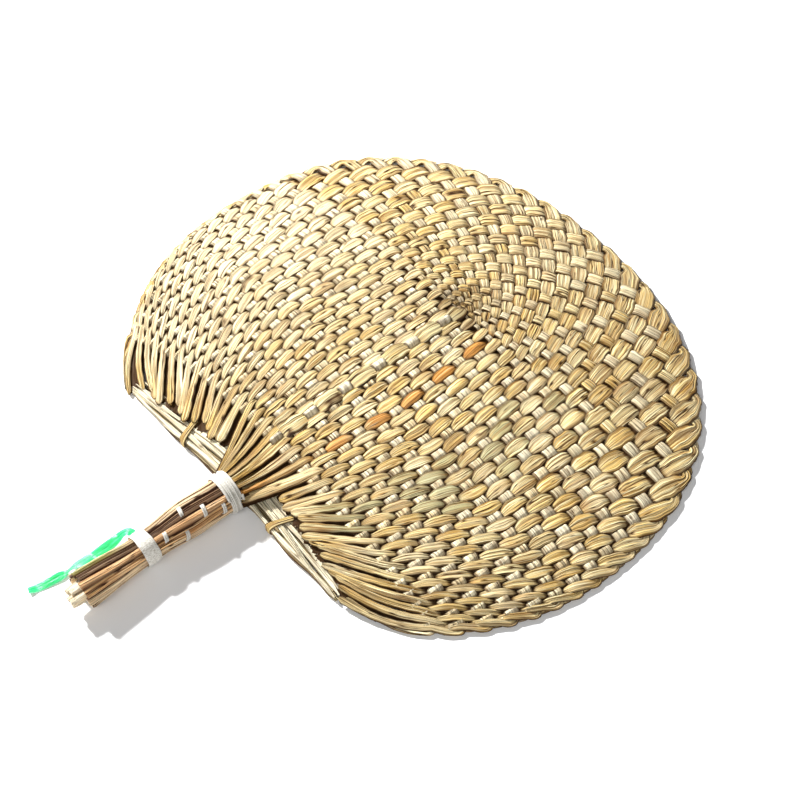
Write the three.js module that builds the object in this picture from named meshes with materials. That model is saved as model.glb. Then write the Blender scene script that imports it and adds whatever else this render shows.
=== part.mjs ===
import * as THREE from 'three';

// A hand fan plaited from dried palm leaf strands. Lengths are in millimetres.
// The blade lies flat with its handle pointing along -Y, and the crown of the rim is at +Y.

// Blade outline: a rounded heart, widest above its middle, with a straight shoulder on each side
// of the neck.
const bladeHalfWidth = 183;
const bladeHalfLength = 163;
const neckInset = 25;
const rimRoundnessShare = 2.2;
const cornerX = 100;
const leftCornerDrop = 8;

// The blade is dished a little: its middle stands higher than its rim.
const domeRise = 17;
const rimHeight = 2;
const foldHeight = 0.6;
const domeFalloffShare = 3;

// Plaiting: crown strands fold over the top of the rim, cross strands fold at both sides.
const crownStrandCount = 24;
const crossStrandCount = 12;
const strandThickness = 0.8;
const weaveHalfHeight = 1.5;
const lowestRowY = 36.7;
const rowPitch = 13.1;
const leftDroop = 18;
const rightDroop = 5;
const overWidthShare = 0.57;
const underWidthShare = 0.46;
const rowWidthShare = 0.44;
const legCrowdingShare = 0.1;
const legCrowdingPowerShare = 6;
const droopPowerShare = 2.5;
const evennessShare = 2.2;
const relaxedRowCount = 6;
const longSideShare = 1.3;
const mitreLimitShare = 1.5;
const crownSamples = 720;

// Where the strands gather at the neck.
const freeLegCount = 7;
const neckLegPitch = 1.25;
const neckFanWidth = 27;
const spineX = -3;
const seatGap = 0.3;

// Shoulders: the outermost strands turned inwards along the lower edge of the blade.
const shoulderStrandCount = 3;
const shoulderStations = 4;
const shoulderInnerDepth = 21;
const shoulderOuterDepth = 11;
const shoulderNeckHeight = 10;
const shoulderCornerHeight = 4.5;
const shoulderBevelShare = 0.25;
const legSeatShare = 0.75;
const wrapThickness = 0.9;
const wrapWidth = 6;
const leftWrapX = 46;
const rightWrapX = 41;

// Handle: a bundle of stalks round a core, bound twice and stitched round with thread.
const handleX = 6.5;
const handleLength = 106;
const coreLength = 113;
const coreRadius = 6.5;
const neckStalkRadius = 11.2;
const gripRadius = 11.8;
const waistRadius = 9.3;
const buttRadius = 11.9;
const gripStalkCount = 6;
const sectorSteps = 3;
const coreSides = 12;
const bindingThickness = 1.5;
const bindingSides = 18;
const neckBindingWidth = 9.6;
const neckBindingY = -6;
const gripBindingWidth = 9;
const gripBindingY = -62.5;
const stitchRadius = 0.6;
const stitchPitch = 28;
const stitchEndRun = 1.2;
const stitchSteps = 24;
const stitchSides = 6;

// A flat green tie hangs from the lower binding and lies beside the end of the handle.
const tieWidth = 5;
const tieThickness = 0.8;
const tieSteps = 30;
const tieSides = 8;
const tieRoute = [
  [-5.8, -62.2, 12.2], [-8, -63.5, 11.6], [-9.1, -66.2, 9.9], [-9.3, -69.8, 7.6], [-9.3, -74.2, 5],
  [-9.9, -79.2, 2.7], [-10.8, -84.8, 1.3], [-11.9, -90.7, 0.8], [-12.8, -95.8, 0.6], [-13.5, -101, 0.6],
  [-14.3, -106.2, 0.6], [-15.3, -111.3, 0.6], [-16.7, -116.3, 0.6], [-18.1, -121.2, 0.6],
  [-19.4, -125.4, 0.6],
];

const bladeCentreY = bladeHalfLength - neckInset;
const handleZ = neckStalkRadius + seatGap + bindingThickness;

const strawColour = 0xd9c188;
const paleStrawColour = 0xe9dcb4;
const stalkColour = 0xc3a878;
const orangeColour = 0xc9782c;
const threadColour = 0xece9e1;
const tieColour = 0x22dd84;

function strawMaterial(colour) {
  return new THREE.MeshStandardMaterial({ color: colour, roughness: 0.62, metalness: 0 });
}

const fan = new THREE.Group();

function addNode(name, geometry, colour) {
  const mesh = new THREE.Mesh(geometry, strawMaterial(colour));
  mesh.name = name;
  fan.add(mesh);
  return mesh;
}

// Joins a row of rings, each with the same number of corners, into one closed body with flat ends.
function loft(rings) {
  const corners = rings[0].length;
  const positions = rings.flat().flatMap((point) => [point.x, point.y, point.z]);
  const faces = [];
  for (let ring = 0; ring + 1 < rings.length; ring += 1) {
    for (let corner = 0; corner < corners; corner += 1) {
      const next = (corner + 1) % corners;
      const a = ring * corners + corner;
      const b = ring * corners + next;
      faces.push(a, b, b + corners, a, b + corners, a + corners);
    }
  }
  const last = (rings.length - 1) * corners;
  for (let corner = 1; corner + 1 < corners; corner += 1) {
    faces.push(0, corner + 1, corner);
    faces.push(last, last + corner, last + corner + 1);
  }
  return outwardGeometry(positions, faces);
}

// Joins rings into a closed loop, as for a band that goes all the way round.
function closedLoft(rings) {
  const corners = rings[0].length;
  const positions = rings.flat().flatMap((point) => [point.x, point.y, point.z]);
  const faces = [];
  for (let ring = 0; ring < rings.length; ring += 1) {
    const start = ring * corners;
    const following = ((ring + 1) % rings.length) * corners;
    for (let corner = 0; corner < corners; corner += 1) {
      const next = (corner + 1) % corners;
      faces.push(start + corner, start + next, following + next);
      faces.push(start + corner, following + next, following + corner);
    }
  }
  return outwardGeometry(positions, faces);
}

// Turns every face round if the body came out inside out, so that its volume is positive.
function outwardGeometry(positions, faces) {
  const a = new THREE.Vector3();
  const b = new THREE.Vector3();
  const c = new THREE.Vector3();
  let volume = 0;
  for (let face = 0; face < faces.length; face += 3) {
    a.fromArray(positions, faces[face] * 3);
    b.fromArray(positions, faces[face + 1] * 3);
    c.fromArray(positions, faces[face + 2] * 3);
    volume += a.dot(b.cross(c));
  }
  if (volume < 0) {
    for (let face = 0; face < faces.length; face += 3) {
      [faces[face + 1], faces[face + 2]] = [faces[face + 2], faces[face + 1]];
    }
  }
  const geometry = new THREE.BufferGeometry();
  geometry.setAttribute('position', new THREE.Float32BufferAttribute(positions, 3));
  geometry.setIndex(faces);
  return geometry;
}

// Height of the middle of the blade: highest in the middle and falling towards the rim.
function bladeHeight(x, y) {
  const across = Math.pow(Math.abs(x) / bladeHalfWidth, rimRoundnessShare);
  const along = Math.pow(Math.abs(y - bladeCentreY) / bladeHalfLength, rimRoundnessShare);
  const reach = Math.min(1, Math.pow(across + along, 1 / rimRoundnessShare));
  return rimHeight + domeRise * (1 - Math.pow(reach, domeFalloffShare));
}

// The rim at a height y, as a distance to the side of the middle line.
function rimX(y) {
  const along = Math.pow(Math.abs(y - bladeCentreY) / bladeHalfLength, rimRoundnessShare);
  return bladeHalfWidth * Math.pow(1 - along, 1 / rimRoundnessShare);
}

// Raises the size of a value to a power and keeps its sign.
function signedPower(value, power) {
  return Math.sign(value) * Math.pow(Math.abs(value), power);
}

// The angle at which the rim passes a height y, where zero is the widest place of the blade.
function rimAngle(y) {
  return Math.asin(signedPower((y - bladeCentreY) / bladeHalfLength, rimRoundnessShare / 2));
}

// Points along the crown of the rim from the left side to the right, spaced evenly along its length.
function crownPoints(leftY, rightY, count) {
  const samples = [];
  const startAngle = rimAngle(leftY);
  const endAngle = rimAngle(rightY);
  for (let step = 0; step <= crownSamples; step += 1) {
    const angle = Math.PI - startAngle + (step / crownSamples) * (endAngle + startAngle - Math.PI);
    const x = bladeHalfWidth * signedPower(Math.cos(angle), 2 / rimRoundnessShare);
    const y = bladeHalfLength * signedPower(Math.sin(angle), 2 / rimRoundnessShare);
    samples.push(new THREE.Vector2(x, bladeCentreY + y));
  }
  const lengths = [0];
  for (let step = 1; step <= crownSamples; step += 1) {
    lengths.push(lengths[step - 1] + samples[step].distanceTo(samples[step - 1]));
  }
  const points = [];
  for (let index = 1; index <= count; index += 1) {
    const target = (lengths[crownSamples] * index) / (count + 1);
    const step = lengths.findIndex((length) => length >= target);
    const blend = (target - lengths[step - 1]) / (lengths[step] - lengths[step - 1]);
    points.push(samples[step - 1].clone().lerp(samples[step], blend));
  }
  return points;
}

// The plait is a net of crossings. Every knot of the net has a place, and either is fixed or lies
// at the mean of the knots next to it on the two strands that cross there.
const knots = new Map();

function knot(key) {
  if (!knots.has(key)) {
    const place = new THREE.Vector2(0, bladeCentreY);
    knots.set(key, { place, fixed: false, neighbours: [], strands: [] });
  }
  return knots.get(key);
}

function fixKnot(key, x, y) {
  const fixed = knot(key);
  fixed.place.set(x, y);
  fixed.fixed = true;
  return fixed;
}

const leftCrossing = (leg, row) => `left ${leg} ${row}`;
const rightCrossing = (leg, row) => `right ${leg} ${row}`;
const crownCrossing = (left, right) => `crown ${left} ${right}`;
const isOdd = (value) => Math.abs(value % 2) === 1;

function rowHeight(row) {
  return lowestRowY + (crossStrandCount - row) * rowPitch;
}

// Place on a row, a share of the way from the spine to the fold: legs crowd a little at the rim,
// and the row droops towards it.
function rowPlace(row, side, share) {
  const droop = side < 0 ? leftDroop : rightDroop;
  const foldY = rowHeight(row) - droop;
  const reach = side * rimX(foldY) - spineX;
  const even = (1 + legCrowdingShare) * share - legCrowdingShare * Math.pow(share, legCrowdingPowerShare);
  return [spineX + reach * even, rowHeight(row) - droop * Math.pow(even, droopPowerShare)];
}

// The height of a row at a distance x from the middle line.
function rowCurve(row, side, x) {
  const droop = side < 0 ? leftDroop : rightDroop;
  const reach = side * rimX(rowHeight(row) - droop) - spineX;
  return rowHeight(row) - droop * Math.pow(Math.max(0, (x - spineX) / reach), droopPowerShare);
}

// Fixed knots: the crossings below the crown, the folds along the rim and the lower ends of the legs.
const spineTop = rowHeight(1);
for (let row = 1; row <= crossStrandCount; row += 1) {
  const leftLegs = crownStrandCount + 1 + row;
  const rightLegs = crownStrandCount + row;
  for (let leg = 1; leg < leftLegs; leg += 1) {
    fixKnot(leftCrossing(leg, row), ...rowPlace(row, -1, leg / leftLegs));
    knot(leftCrossing(leg, row)).fixed = row > relaxedRowCount;
    knot(leftCrossing(leg, row)).curve = (x) => rowCurve(row, -1, x);
  }
  for (let leg = 1; leg < rightLegs; leg += 1) {
    fixKnot(rightCrossing(leg, row), ...rowPlace(row, 1, leg / rightLegs));
    knot(rightCrossing(leg, row)).fixed = row > relaxedRowCount;
    knot(rightCrossing(leg, row)).curve = (x) => rowCurve(row, 1, x);
  }
  fixKnot(rightCrossing(0, row), ...rowPlace(row, 1, 0));
  fixKnot(`left fold ${row}`, ...rowPlace(row, -1, 1)).height = foldHeight;
  fixKnot(`right fold ${row}`, ...rowPlace(row, 1, 1)).height = foldHeight;
}
const crownFolds = crownPoints(spineTop - leftDroop, spineTop - rightDroop, crownStrandCount + 1);
crownFolds.forEach(({ x, y }, index) => {
  fixKnot(`crown fold ${crownStrandCount + 1 - index}`, x, y).height = foldHeight;
});

// Height of the top edge of a shoulder above the lower edge of the blade.
function shoulderDepth(distance) {
  return THREE.MathUtils.lerp(shoulderInnerDepth, shoulderOuterDepth, distance / cornerX);
}

// Height of a shoulder at a distance from the middle line.
function shoulderHeight(distance) {
  return THREE.MathUtils.lerp(shoulderNeckHeight, shoulderCornerHeight, distance / cornerX);
}

// How far a shoulder's lower edge lies below the neck: the left one slopes down to its corner.
function shoulderDrop(side, distance) {
  return side < 0 ? leftCornerDrop * distance / cornerX : 0;
}

const shoulderFloor = wrapThickness + seatGap;
const neckStep = new THREE.Vector2(neckLegPitch, 0);

// Lower ends of the legs: the middle ones meet the handle's face, the others the upper edge of a
// shoulder, where those beside a wrap stop a little short of it.
function fixLegEnds(side, count) {
  const name = side < 0 ? 'left' : 'right';
  const wrapX = side < 0 ? leftWrapX : rightWrapX;
  const seatPoint = (leg) => {
    const share = (leg - freeLegCount) / (count - freeLegCount);
    const distance = THREE.MathUtils.lerp(neckFanWidth, cornerX, share);
    return new THREE.Vector2(side * distance, shoulderDepth(distance) - shoulderDrop(side, distance));
  };
  for (let leg = 1; leg <= count; leg += 1) {
    const key = `${name} end ${leg}`;
    if (leg <= freeLegCount) {
      const end = fixKnot(key, handleX + side * leg * neckLegPitch, 0);
      Object.assign(end, { height: handleZ, across: neckStep });
    } else {
      const { x, y } = seatPoint(leg);
      const besideWrap = Math.abs(Math.abs(x) - wrapX) < wrapWidth;
      const end = fixKnot(key, x, y + (besideWrap ? shoulderFloor + seatGap : seatGap));
      end.height = shoulderFloor + legSeatShare * shoulderHeight(Math.abs(x));
      end.across = seatPoint(leg + 1).sub(seatPoint(leg));
    }
  }
}
fixLegEnds(-1, crownStrandCount + 1 + crossStrandCount);
fixLegEnds(1, crownStrandCount + crossStrandCount);
Object.assign(fixKnot('spine end', handleX, 0), { height: handleZ, across: neckStep });

const spineNode = 'spine_strand';
const strands = new Map();

// A strand is the list of knots that it runs through, with 1 where it lies over and -1 where it
// lies under.
function addStrand(name, steps) {
  strands.set(name, steps);
  steps.forEach((step, index) => {
    const here = knot(step.key);
    here.strands.push({ name, index });
    if (index > 0) {
      const before = knot(steps[index - 1].key);
      here.neighbours.push(before);
      before.neighbours.push(here);
    }
  });
}

const numbered = (name, index) => `${name}_${String(index).padStart(2, '0')}`;
const plain = (key) => ({ key, side: 0 });
const legOnRow = (key, leg, row) => ({ key, side: isOdd(leg + row) ? 1 : -1 });
const rowOnLeg = (key, leg, row) => ({ key, side: isOdd(leg + row) ? -1 : 1 });

const rows = Array.from({ length: crossStrandCount }, (_, index) => index + 1);

// A crown strand rises as a left leg, folds over the crown and comes down as a right leg.
for (let left = 1; left <= crownStrandCount; left += 1) {
  const right = crownStrandCount + 1 - left;
  const steps = [plain(`left end ${left}`)];
  [...rows].reverse().forEach((row) => steps.push(legOnRow(leftCrossing(left, row), left, row)));
  for (let other = 0; other < right; other += 1) {
    steps.push({ key: crownCrossing(left, other), side: isOdd(left + other) ? 1 : -1 });
  }
  steps.push(plain(`crown fold ${left}`));
  for (let other = left - 1; other >= 1; other -= 1) {
    steps.push({ key: crownCrossing(other, right), side: isOdd(other + right) ? -1 : 1 });
  }
  rows.forEach((row) => steps.push(legOnRow(rightCrossing(right, row), right, row)));
  steps.push(plain(`right end ${right}`));
  addStrand(numbered('crown_strand', left), steps);
}

// A cross strand rises at the left rim, runs across the blade and goes down at the right rim.
for (const row of rows) {
  const leftLeg = crownStrandCount + 1 + row;
  const rightLeg = crownStrandCount + row;
  const steps = [plain(`left end ${leftLeg}`)];
  for (let below = crossStrandCount; below > row; below -= 1) {
    steps.push(legOnRow(leftCrossing(leftLeg, below), leftLeg, below));
  }
  steps.push(plain(`left fold ${row}`));
  for (let leg = leftLeg - 1; leg >= 1; leg -= 1) {
    steps.push(rowOnLeg(leftCrossing(leg, row), leg, row));
  }
  for (let leg = 0; leg < rightLeg; leg += 1) {
    steps.push(rowOnLeg(rightCrossing(leg, row), leg, row));
  }
  steps.push(plain(`right fold ${row}`));
  for (let below = row + 1; below <= crossStrandCount; below += 1) {
    steps.push(legOnRow(rightCrossing(rightLeg, below), rightLeg, below));
  }
  steps.push(plain(`right end ${rightLeg}`));
  addStrand(numbered('cross_strand', row), steps);
}

// The spine rises up the middle, bends left over the crown and comes down inside the left rim.
{
  const leftLeg = crownStrandCount + 1;
  const steps = [plain('spine end')];
  [...rows].reverse().forEach((row) => steps.push(legOnRow(rightCrossing(0, row), 0, row)));
  for (let left = 1; left <= crownStrandCount; left += 1) {
    steps.push({ key: crownCrossing(left, 0), side: isOdd(left) ? -1 : 1 });
  }
  steps.push(plain(`crown fold ${leftLeg}`));
  rows.forEach((row) => steps.push(legOnRow(leftCrossing(leftLeg, row), leftLeg, row)));
  steps.push(plain(`left end ${leftLeg}`));
  addStrand(spineNode, steps);
}

// Relaxes the free knots until each lies at the mean of its neighbours. In the later sweeps a farther
// neighbour pulls harder, so that the mesh of the plait stays even.
function relaxNet() {
  const sweeps = 1200;
  const evenSweeps = 300;
  const moveShare = 0.5;
  const pull = new THREE.Vector2();
  const step = new THREE.Vector2();
  const free = [...knots.values()].filter((item) => !item.fixed);
  for (let sweep = 0; sweep < sweeps; sweep += 1) {
    const power = evennessShare * THREE.MathUtils.smoothstep(sweep, evenSweeps, sweeps - evenSweeps);
    for (const item of free) {
      pull.set(0, 0);
      let total = 0;
      for (const neighbour of item.neighbours) {
        step.copy(neighbour.place).sub(item.place);
        const weight = power > 0 ? Math.pow(step.length(), power) : 1;
        pull.addScaledVector(step, weight);
        total += weight;
      }
      item.place.addScaledVector(pull, (power > 0 ? moveShare : 1) / total);
      if (item.curve) {
        item.place.y = item.curve(item.place.x);
      }
    }
  }
}
relaxNet();

// The half pitch of the plait beside a strand where it crosses another, taken along that other one.
// Where one side of the crossing is much longer than the other, or than the pitch of the rows, only
// part of it counts.
function pitchBeside(name, key) {
  const here = knot(key);
  const other = here.strands.find((entry) => entry.name !== name);
  const otherSteps = strands.get(other.name);
  const back = here.place.clone().sub(knot(otherSteps[other.index - 1].key).place);
  const ahead = knot(otherSteps[other.index + 1].key).place.clone().sub(here.place);
  back.clampLength(0, longSideShare * ahead.length());
  ahead.clampLength(0, longSideShare * back.length());
  back.clampLength(0, rowPitch);
  ahead.clampLength(0, rowPitch);
  return back.add(ahead).divideScalar(2);
}

function widthShare(name, step) {
  const row = Number(step.key.split(' ')[2]);
  const isRow = !step.key.startsWith('crown') && name === numbered('cross_strand', row);
  if (isRow) {
    return rowWidthShare;
  }
  return step.side > 0 ? overWidthShare : underWidthShare;
}

// The vector from one edge of a strand to the other at a crossing: it lies along the strand that is
// crossed, so that the gaps between the two stay the same at any angle of crossing.
function edgeToEdge(name, steps, index) {
  const step = steps[index];
  const here = knot(step.key);
  let across;
  if (here.across) {
    across = here.across.clone().multiplyScalar(underWidthShare);
  } else {
    across = pitchBeside(name, step.key).multiplyScalar(widthShare(name, step));
  }
  const before = knot(steps[Math.max(0, index - 1)].key).place;
  const after = knot(steps[Math.min(steps.length - 1, index + 1)].key).place;
  const along = after.clone().sub(before);
  return along.cross(across) < 0 ? across.negate() : across;
}

// At a fold the strand is cut to a mitre, as wide as it is beside the fold.
function mitreAt(steps, index, widthBefore, widthAfter) {
  const { place } = knot(steps[index].key);
  const arriving = place.clone().sub(knot(steps[index - 1].key).place).normalize();
  const leaving = knot(steps[index + 1].key).place.clone().sub(place).normalize();
  const across = new THREE.Vector2(-arriving.y - leaving.y, arriving.x + leaving.x);
  const stretch = Math.min(mitreLimitShare, 2 / across.length());
  return across.setLength(((widthBefore + widthAfter) / 2) * stretch);
}

// A strand is a thin flat ribbon with one ring of four corners at each knot.
function strandGeometry(name, steps) {
  const isFold = (step) => step.key.includes('fold');
  const acrosses = steps.map((step, index) => (isFold(step) ? null : edgeToEdge(name, steps, index)));
  const rings = steps.map((step, index) => {
    const { place, height } = knot(step.key);
    let across = acrosses[index];
    if (across === null) {
      const widthBefore = squareWidth(steps, acrosses, index - 1);
      const widthAfter = squareWidth(steps, acrosses, index + 1);
      across = mitreAt(steps, index, widthBefore, widthAfter);
    }
    const corner = (share, lift) => {
      const x = place.x + (share * across.x) / 2;
      const y = place.y + (share * across.y) / 2;
      const middle = height ?? bladeHeight(x, y) + step.side * weaveHalfHeight;
      return new THREE.Vector3(x, y, middle + (lift * strandThickness) / 2);
    };
    return [corner(-1, -1), corner(1, -1), corner(1, 1), corner(-1, 1)];
  });
  return loft(rings);
}

// Width of a strand measured square to its run.
function squareWidth(steps, acrosses, index) {
  const before = knot(steps[Math.max(0, index - 1)].key).place;
  const after = knot(steps[Math.min(steps.length - 1, index + 1)].key).place;
  return Math.abs(after.clone().sub(before).normalize().cross(acrosses[index]));
}

for (const [name, steps] of strands) {
  const colour = name.startsWith('cross') ? paleStrawColour : strawColour;
  addNode(name, strandGeometry(name, steps), colour);
}

// Shoulders: flat bars side by side, deepest at the neck, that meet under the free legs.
function shoulderGeometry(side, index) {
  const rings = [];
  for (let station = 0; station <= shoulderStations; station += 1) {
    const distance = THREE.MathUtils.lerp(seatGap / 2, cornerX, station / shoulderStations);
    const depth = shoulderDepth(distance) / shoulderStrandCount;
    const drop = shoulderDrop(side, distance);
    const low = index * depth + seatGap - drop;
    const high = (index + 1) * depth - drop;
    const bevel = (high - low) * shoulderBevelShare;
    const top = shoulderFloor + shoulderHeight(distance);
    const x = side * distance;
    rings.push([
      new THREE.Vector3(x, low, shoulderFloor),
      new THREE.Vector3(x, high, shoulderFloor),
      new THREE.Vector3(x, high, top - bevel),
      new THREE.Vector3(x, high - bevel, top),
      new THREE.Vector3(x, low + bevel, top),
      new THREE.Vector3(x, low, top - bevel),
    ]);
  }
  return loft(rings);
}

// A wrap is one strand taken once round the whole shoulder, with a little room inside it.
function wrapGeometry(side, distance) {
  const high = shoulderDepth(distance) + seatGap;
  const top = shoulderFloor + shoulderHeight(distance) + seatGap;
  const low = shoulderFloor - seatGap;
  const inner = [[0, low], [high, low], [high, top], [0, top]];
  const middleY = high / 2;
  const place = (offset, y, z) => {
    const x = side * distance + offset;
    return new THREE.Vector3(x, y - shoulderDrop(side, Math.abs(x)), z);
  };
  const rings = inner.map(([y, z]) => {
    const outY = y + Math.sign(y - middleY) * wrapThickness;
    const outZ = z > shoulderFloor ? z + wrapThickness : z - wrapThickness;
    return [
      place(-wrapWidth / 2, y, z),
      place(wrapWidth / 2, y, z),
      place(wrapWidth / 2, outY, outZ),
      place(-wrapWidth / 2, outY, outZ),
    ];
  });
  return closedLoft(rings);
}

for (const side of [-1, 1]) {
  const name = side < 0 ? 'left' : 'right';
  for (let index = 0; index < shoulderStrandCount; index += 1) {
    addNode(`${name}_shoulder_strand_${index + 1}`, shoulderGeometry(side, index), paleStrawColour);
  }
  addNode(`${name}_shoulder_wrap`, wrapGeometry(side, side < 0 ? leftWrapX : rightWrapX), stalkColour);
}

// Outer radius of the stalk bundle along the handle, from the neck to the cut end.
const gripProfile = [
  [0, neckStalkRadius],
  [neckBindingY - neckBindingWidth, neckStalkRadius],
  [(neckBindingY + gripBindingY) / 2, gripRadius],
  [gripBindingY + gripBindingWidth, waistRadius],
  [gripBindingY - gripBindingWidth, waistRadius],
  [-handleLength, buttRadius],
];

function stalkRadius(y) {
  const after = gripProfile.findIndex(([place]) => place <= y);
  if (after <= 0) {
    return gripProfile[0][1];
  }
  const [fromY, fromRadius] = gripProfile[after - 1];
  const [toY, toRadius] = gripProfile[after];
  return THREE.MathUtils.mapLinear(y, fromY, toY, fromRadius, toRadius);
}

function roundHandle(radius, angle, y) {
  return new THREE.Vector3(handleX + radius * Math.sin(angle), y, handleZ + radius * Math.cos(angle));
}

// Grip stalks: sectors of the bundle round the core, each with an arc of flats outside.
function gripStalkGeometry(index) {
  const sectorAngle = (2 * Math.PI) / gripStalkCount;
  const rings = gripProfile.map(([y, radius], station) => {
    const ring = [];
    const place = station === 0 ? y - seatGap : y;
    const start = index * sectorAngle;
    for (let step = 0; step <= sectorSteps; step += 1) {
      const edgeGap = seatGap / 2 / radius;
      const end = start + sectorAngle - edgeGap;
      const angle = THREE.MathUtils.lerp(start + edgeGap, end, step / sectorSteps);
      ring.push(roundHandle(radius, angle, place));
    }
    const innerRadius = coreRadius / Math.cos(sectorAngle / 4) + seatGap;
    const innerGap = seatGap / 2 / innerRadius;
    ring.push(roundHandle(innerRadius, start + sectorAngle - innerGap, place));
    ring.push(roundHandle(innerRadius, start + sectorAngle / 2, place));
    ring.push(roundHandle(innerRadius, start + innerGap, place));
    return ring;
  });
  return loft(rings);
}

for (let index = 0; index < gripStalkCount; index += 1) {
  addNode(`grip_stalks_${index + 1}`, gripStalkGeometry(index), stalkColour);
}

// Core stalks run through the whole handle and stick out a little at its cut end.
function handleRing(radius, sides, y) {
  const angle = (side) => ((side + 0.5) / sides) * 2 * Math.PI;
  return Array.from({ length: sides }, (_, side) => roundHandle(radius, angle(side), y));
}
const coreRings = [-seatGap, -coreLength].map((y) => handleRing(coreRadius, coreSides, y));
addNode('core_stalks', loft(coreRings), paleStrawColour);

// Bindings: bands of thread round the bundle. The neck binding is what the handle rests on.
function bindingGeometry(centreY, width) {
  const cornerShare = 1 / Math.cos(Math.PI / bindingSides);
  const inner = (stalkRadius(centreY) + seatGap) * cornerShare;
  const outer = (stalkRadius(centreY) + seatGap + bindingThickness) * cornerShare;
  const corners = [
    [inner, centreY - width / 2],
    [outer, centreY - width / 2],
    [outer, centreY + width / 2],
    [inner, centreY + width / 2],
  ];
  const rings = Array.from({ length: bindingSides }, (_, side) => {
    const angle = ((side + 0.5) / bindingSides) * 2 * Math.PI;
    return corners.map(([radius, y]) => roundHandle(radius, angle, y));
  });
  return closedLoft(rings);
}
addNode('neck_binding', bindingGeometry(neckBindingY, neckBindingWidth), threadColour);
addNode('grip_binding', bindingGeometry(gripBindingY, gripBindingWidth), threadColour);

// Spiral stitch: one thread wound round the grip from one binding to the other.
const stitchStartY = neckBindingY - neckBindingWidth / 2 - seatGap;
const stitchEndY = gripBindingY + gripBindingWidth / 2 + seatGap;
const stitchTurns = (stitchStartY - stitchEndY - 2 * stitchEndRun) / stitchPitch;

function stitchPoint(turn) {
  const y = stitchStartY - stitchEndRun - turn * stitchPitch;
  const radius = stalkRadius(y) + seatGap + stitchRadius;
  return roundHandle(radius, Math.PI + turn * 2 * Math.PI, y);
}

function stitchGeometry() {
  const count = Math.round(stitchTurns * stitchSteps);
  const points = [stitchPoint(0).add(new THREE.Vector3(0, stitchEndRun, 0))];
  for (let index = 0; index <= count; index += 1) {
    points.push(stitchPoint((index / count) * stitchTurns));
  }
  points.push(stitchPoint(stitchTurns).add(new THREE.Vector3(0, -stitchEndRun, 0)));
  const outward = new THREE.Vector3();
  const rings = points.map((point, index) => {
    const before = points[Math.max(0, index - 1)];
    const after = points[Math.min(points.length - 1, index + 1)];
    const along = after.clone().sub(before).normalize();
    outward.set(point.x - handleX, 0, point.z - handleZ).normalize();
    outward.addScaledVector(along, -outward.dot(along)).normalize();
    const sideways = outward.clone().cross(along);
    return Array.from({ length: stitchSides }, (_, side) => {
      const angle = (side / stitchSides) * 2 * Math.PI;
      return point.clone()
        .addScaledVector(outward, stitchRadius * Math.cos(angle))
        .addScaledVector(sideways, stitchRadius * Math.sin(angle));
    });
  });
  printLeastGap(points);
  return loft(rings);
}

// Prints the least clear gap between one turn of the thread and the next.
function printLeastGap(points) {
  let least = Infinity;
  for (let index = 0; index < points.length; index += 1) {
    for (let other = index + Math.round(stitchSteps / 2); other < points.length; other += 1) {
      least = Math.min(least, points[index].distanceTo(points[other]));
    }
  }
  console.log(`least gap of the spiral stitch to itself: ${(least - 2 * stitchRadius).toFixed(2)} mm`);
}
addNode('spiral_stitch', stitchGeometry(), threadColour);

// Hanging tie: a narrow flat strip along its route, with its flat side up on the floor.
function tieGeometry() {
  const section = new THREE.Shape();
  for (let side = 0; side < tieSides; side += 1) {
    const angle = ((side + 0.5) / tieSides) * 2 * Math.PI;
    const x = (tieThickness / 2) * Math.cos(angle) / Math.cos(Math.PI / tieSides);
    const y = (tieWidth / 2) * Math.sin(angle) / Math.cos(Math.PI / tieSides);
    if (side === 0) {
      section.moveTo(x, y);
    } else {
      section.lineTo(x, y);
    }
  }
  section.closePath();
  const points = [...tieRoute].reverse().map(([x, y, z]) => new THREE.Vector3(x, y, z));
  const path = new THREE.CatmullRomCurve3(points);
  return new THREE.ExtrudeGeometry(section, { steps: tieSteps, extrudePath: path, bevelEnabled: false });
}
addNode('hanging_tie', tieGeometry(), tieColour);

// The part's own origin is under the middle of the fan, without its tie.
const box = new THREE.Box3();
for (const mesh of fan.children) {
  if (mesh.name !== 'hanging_tie') {
    box.expandByObject(mesh);
  }
}
const middle = box.getCenter(new THREE.Vector3());
for (const mesh of fan.children) {
  mesh.position.set(-middle.x, -middle.y, -box.min.z);
}

export default fan;
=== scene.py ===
# %% [markdown]
# # A plaited palm leaf fan
# The fan is one flat plait of leaf strands. They rise from a bundled handle as legs, cross twelve
# strands that run from side to side, fold over the rim and come down again. This lesson loads the
# fan's plain solids as a frame and dresses each of them with a finer surface, worked out with numpy.

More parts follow.
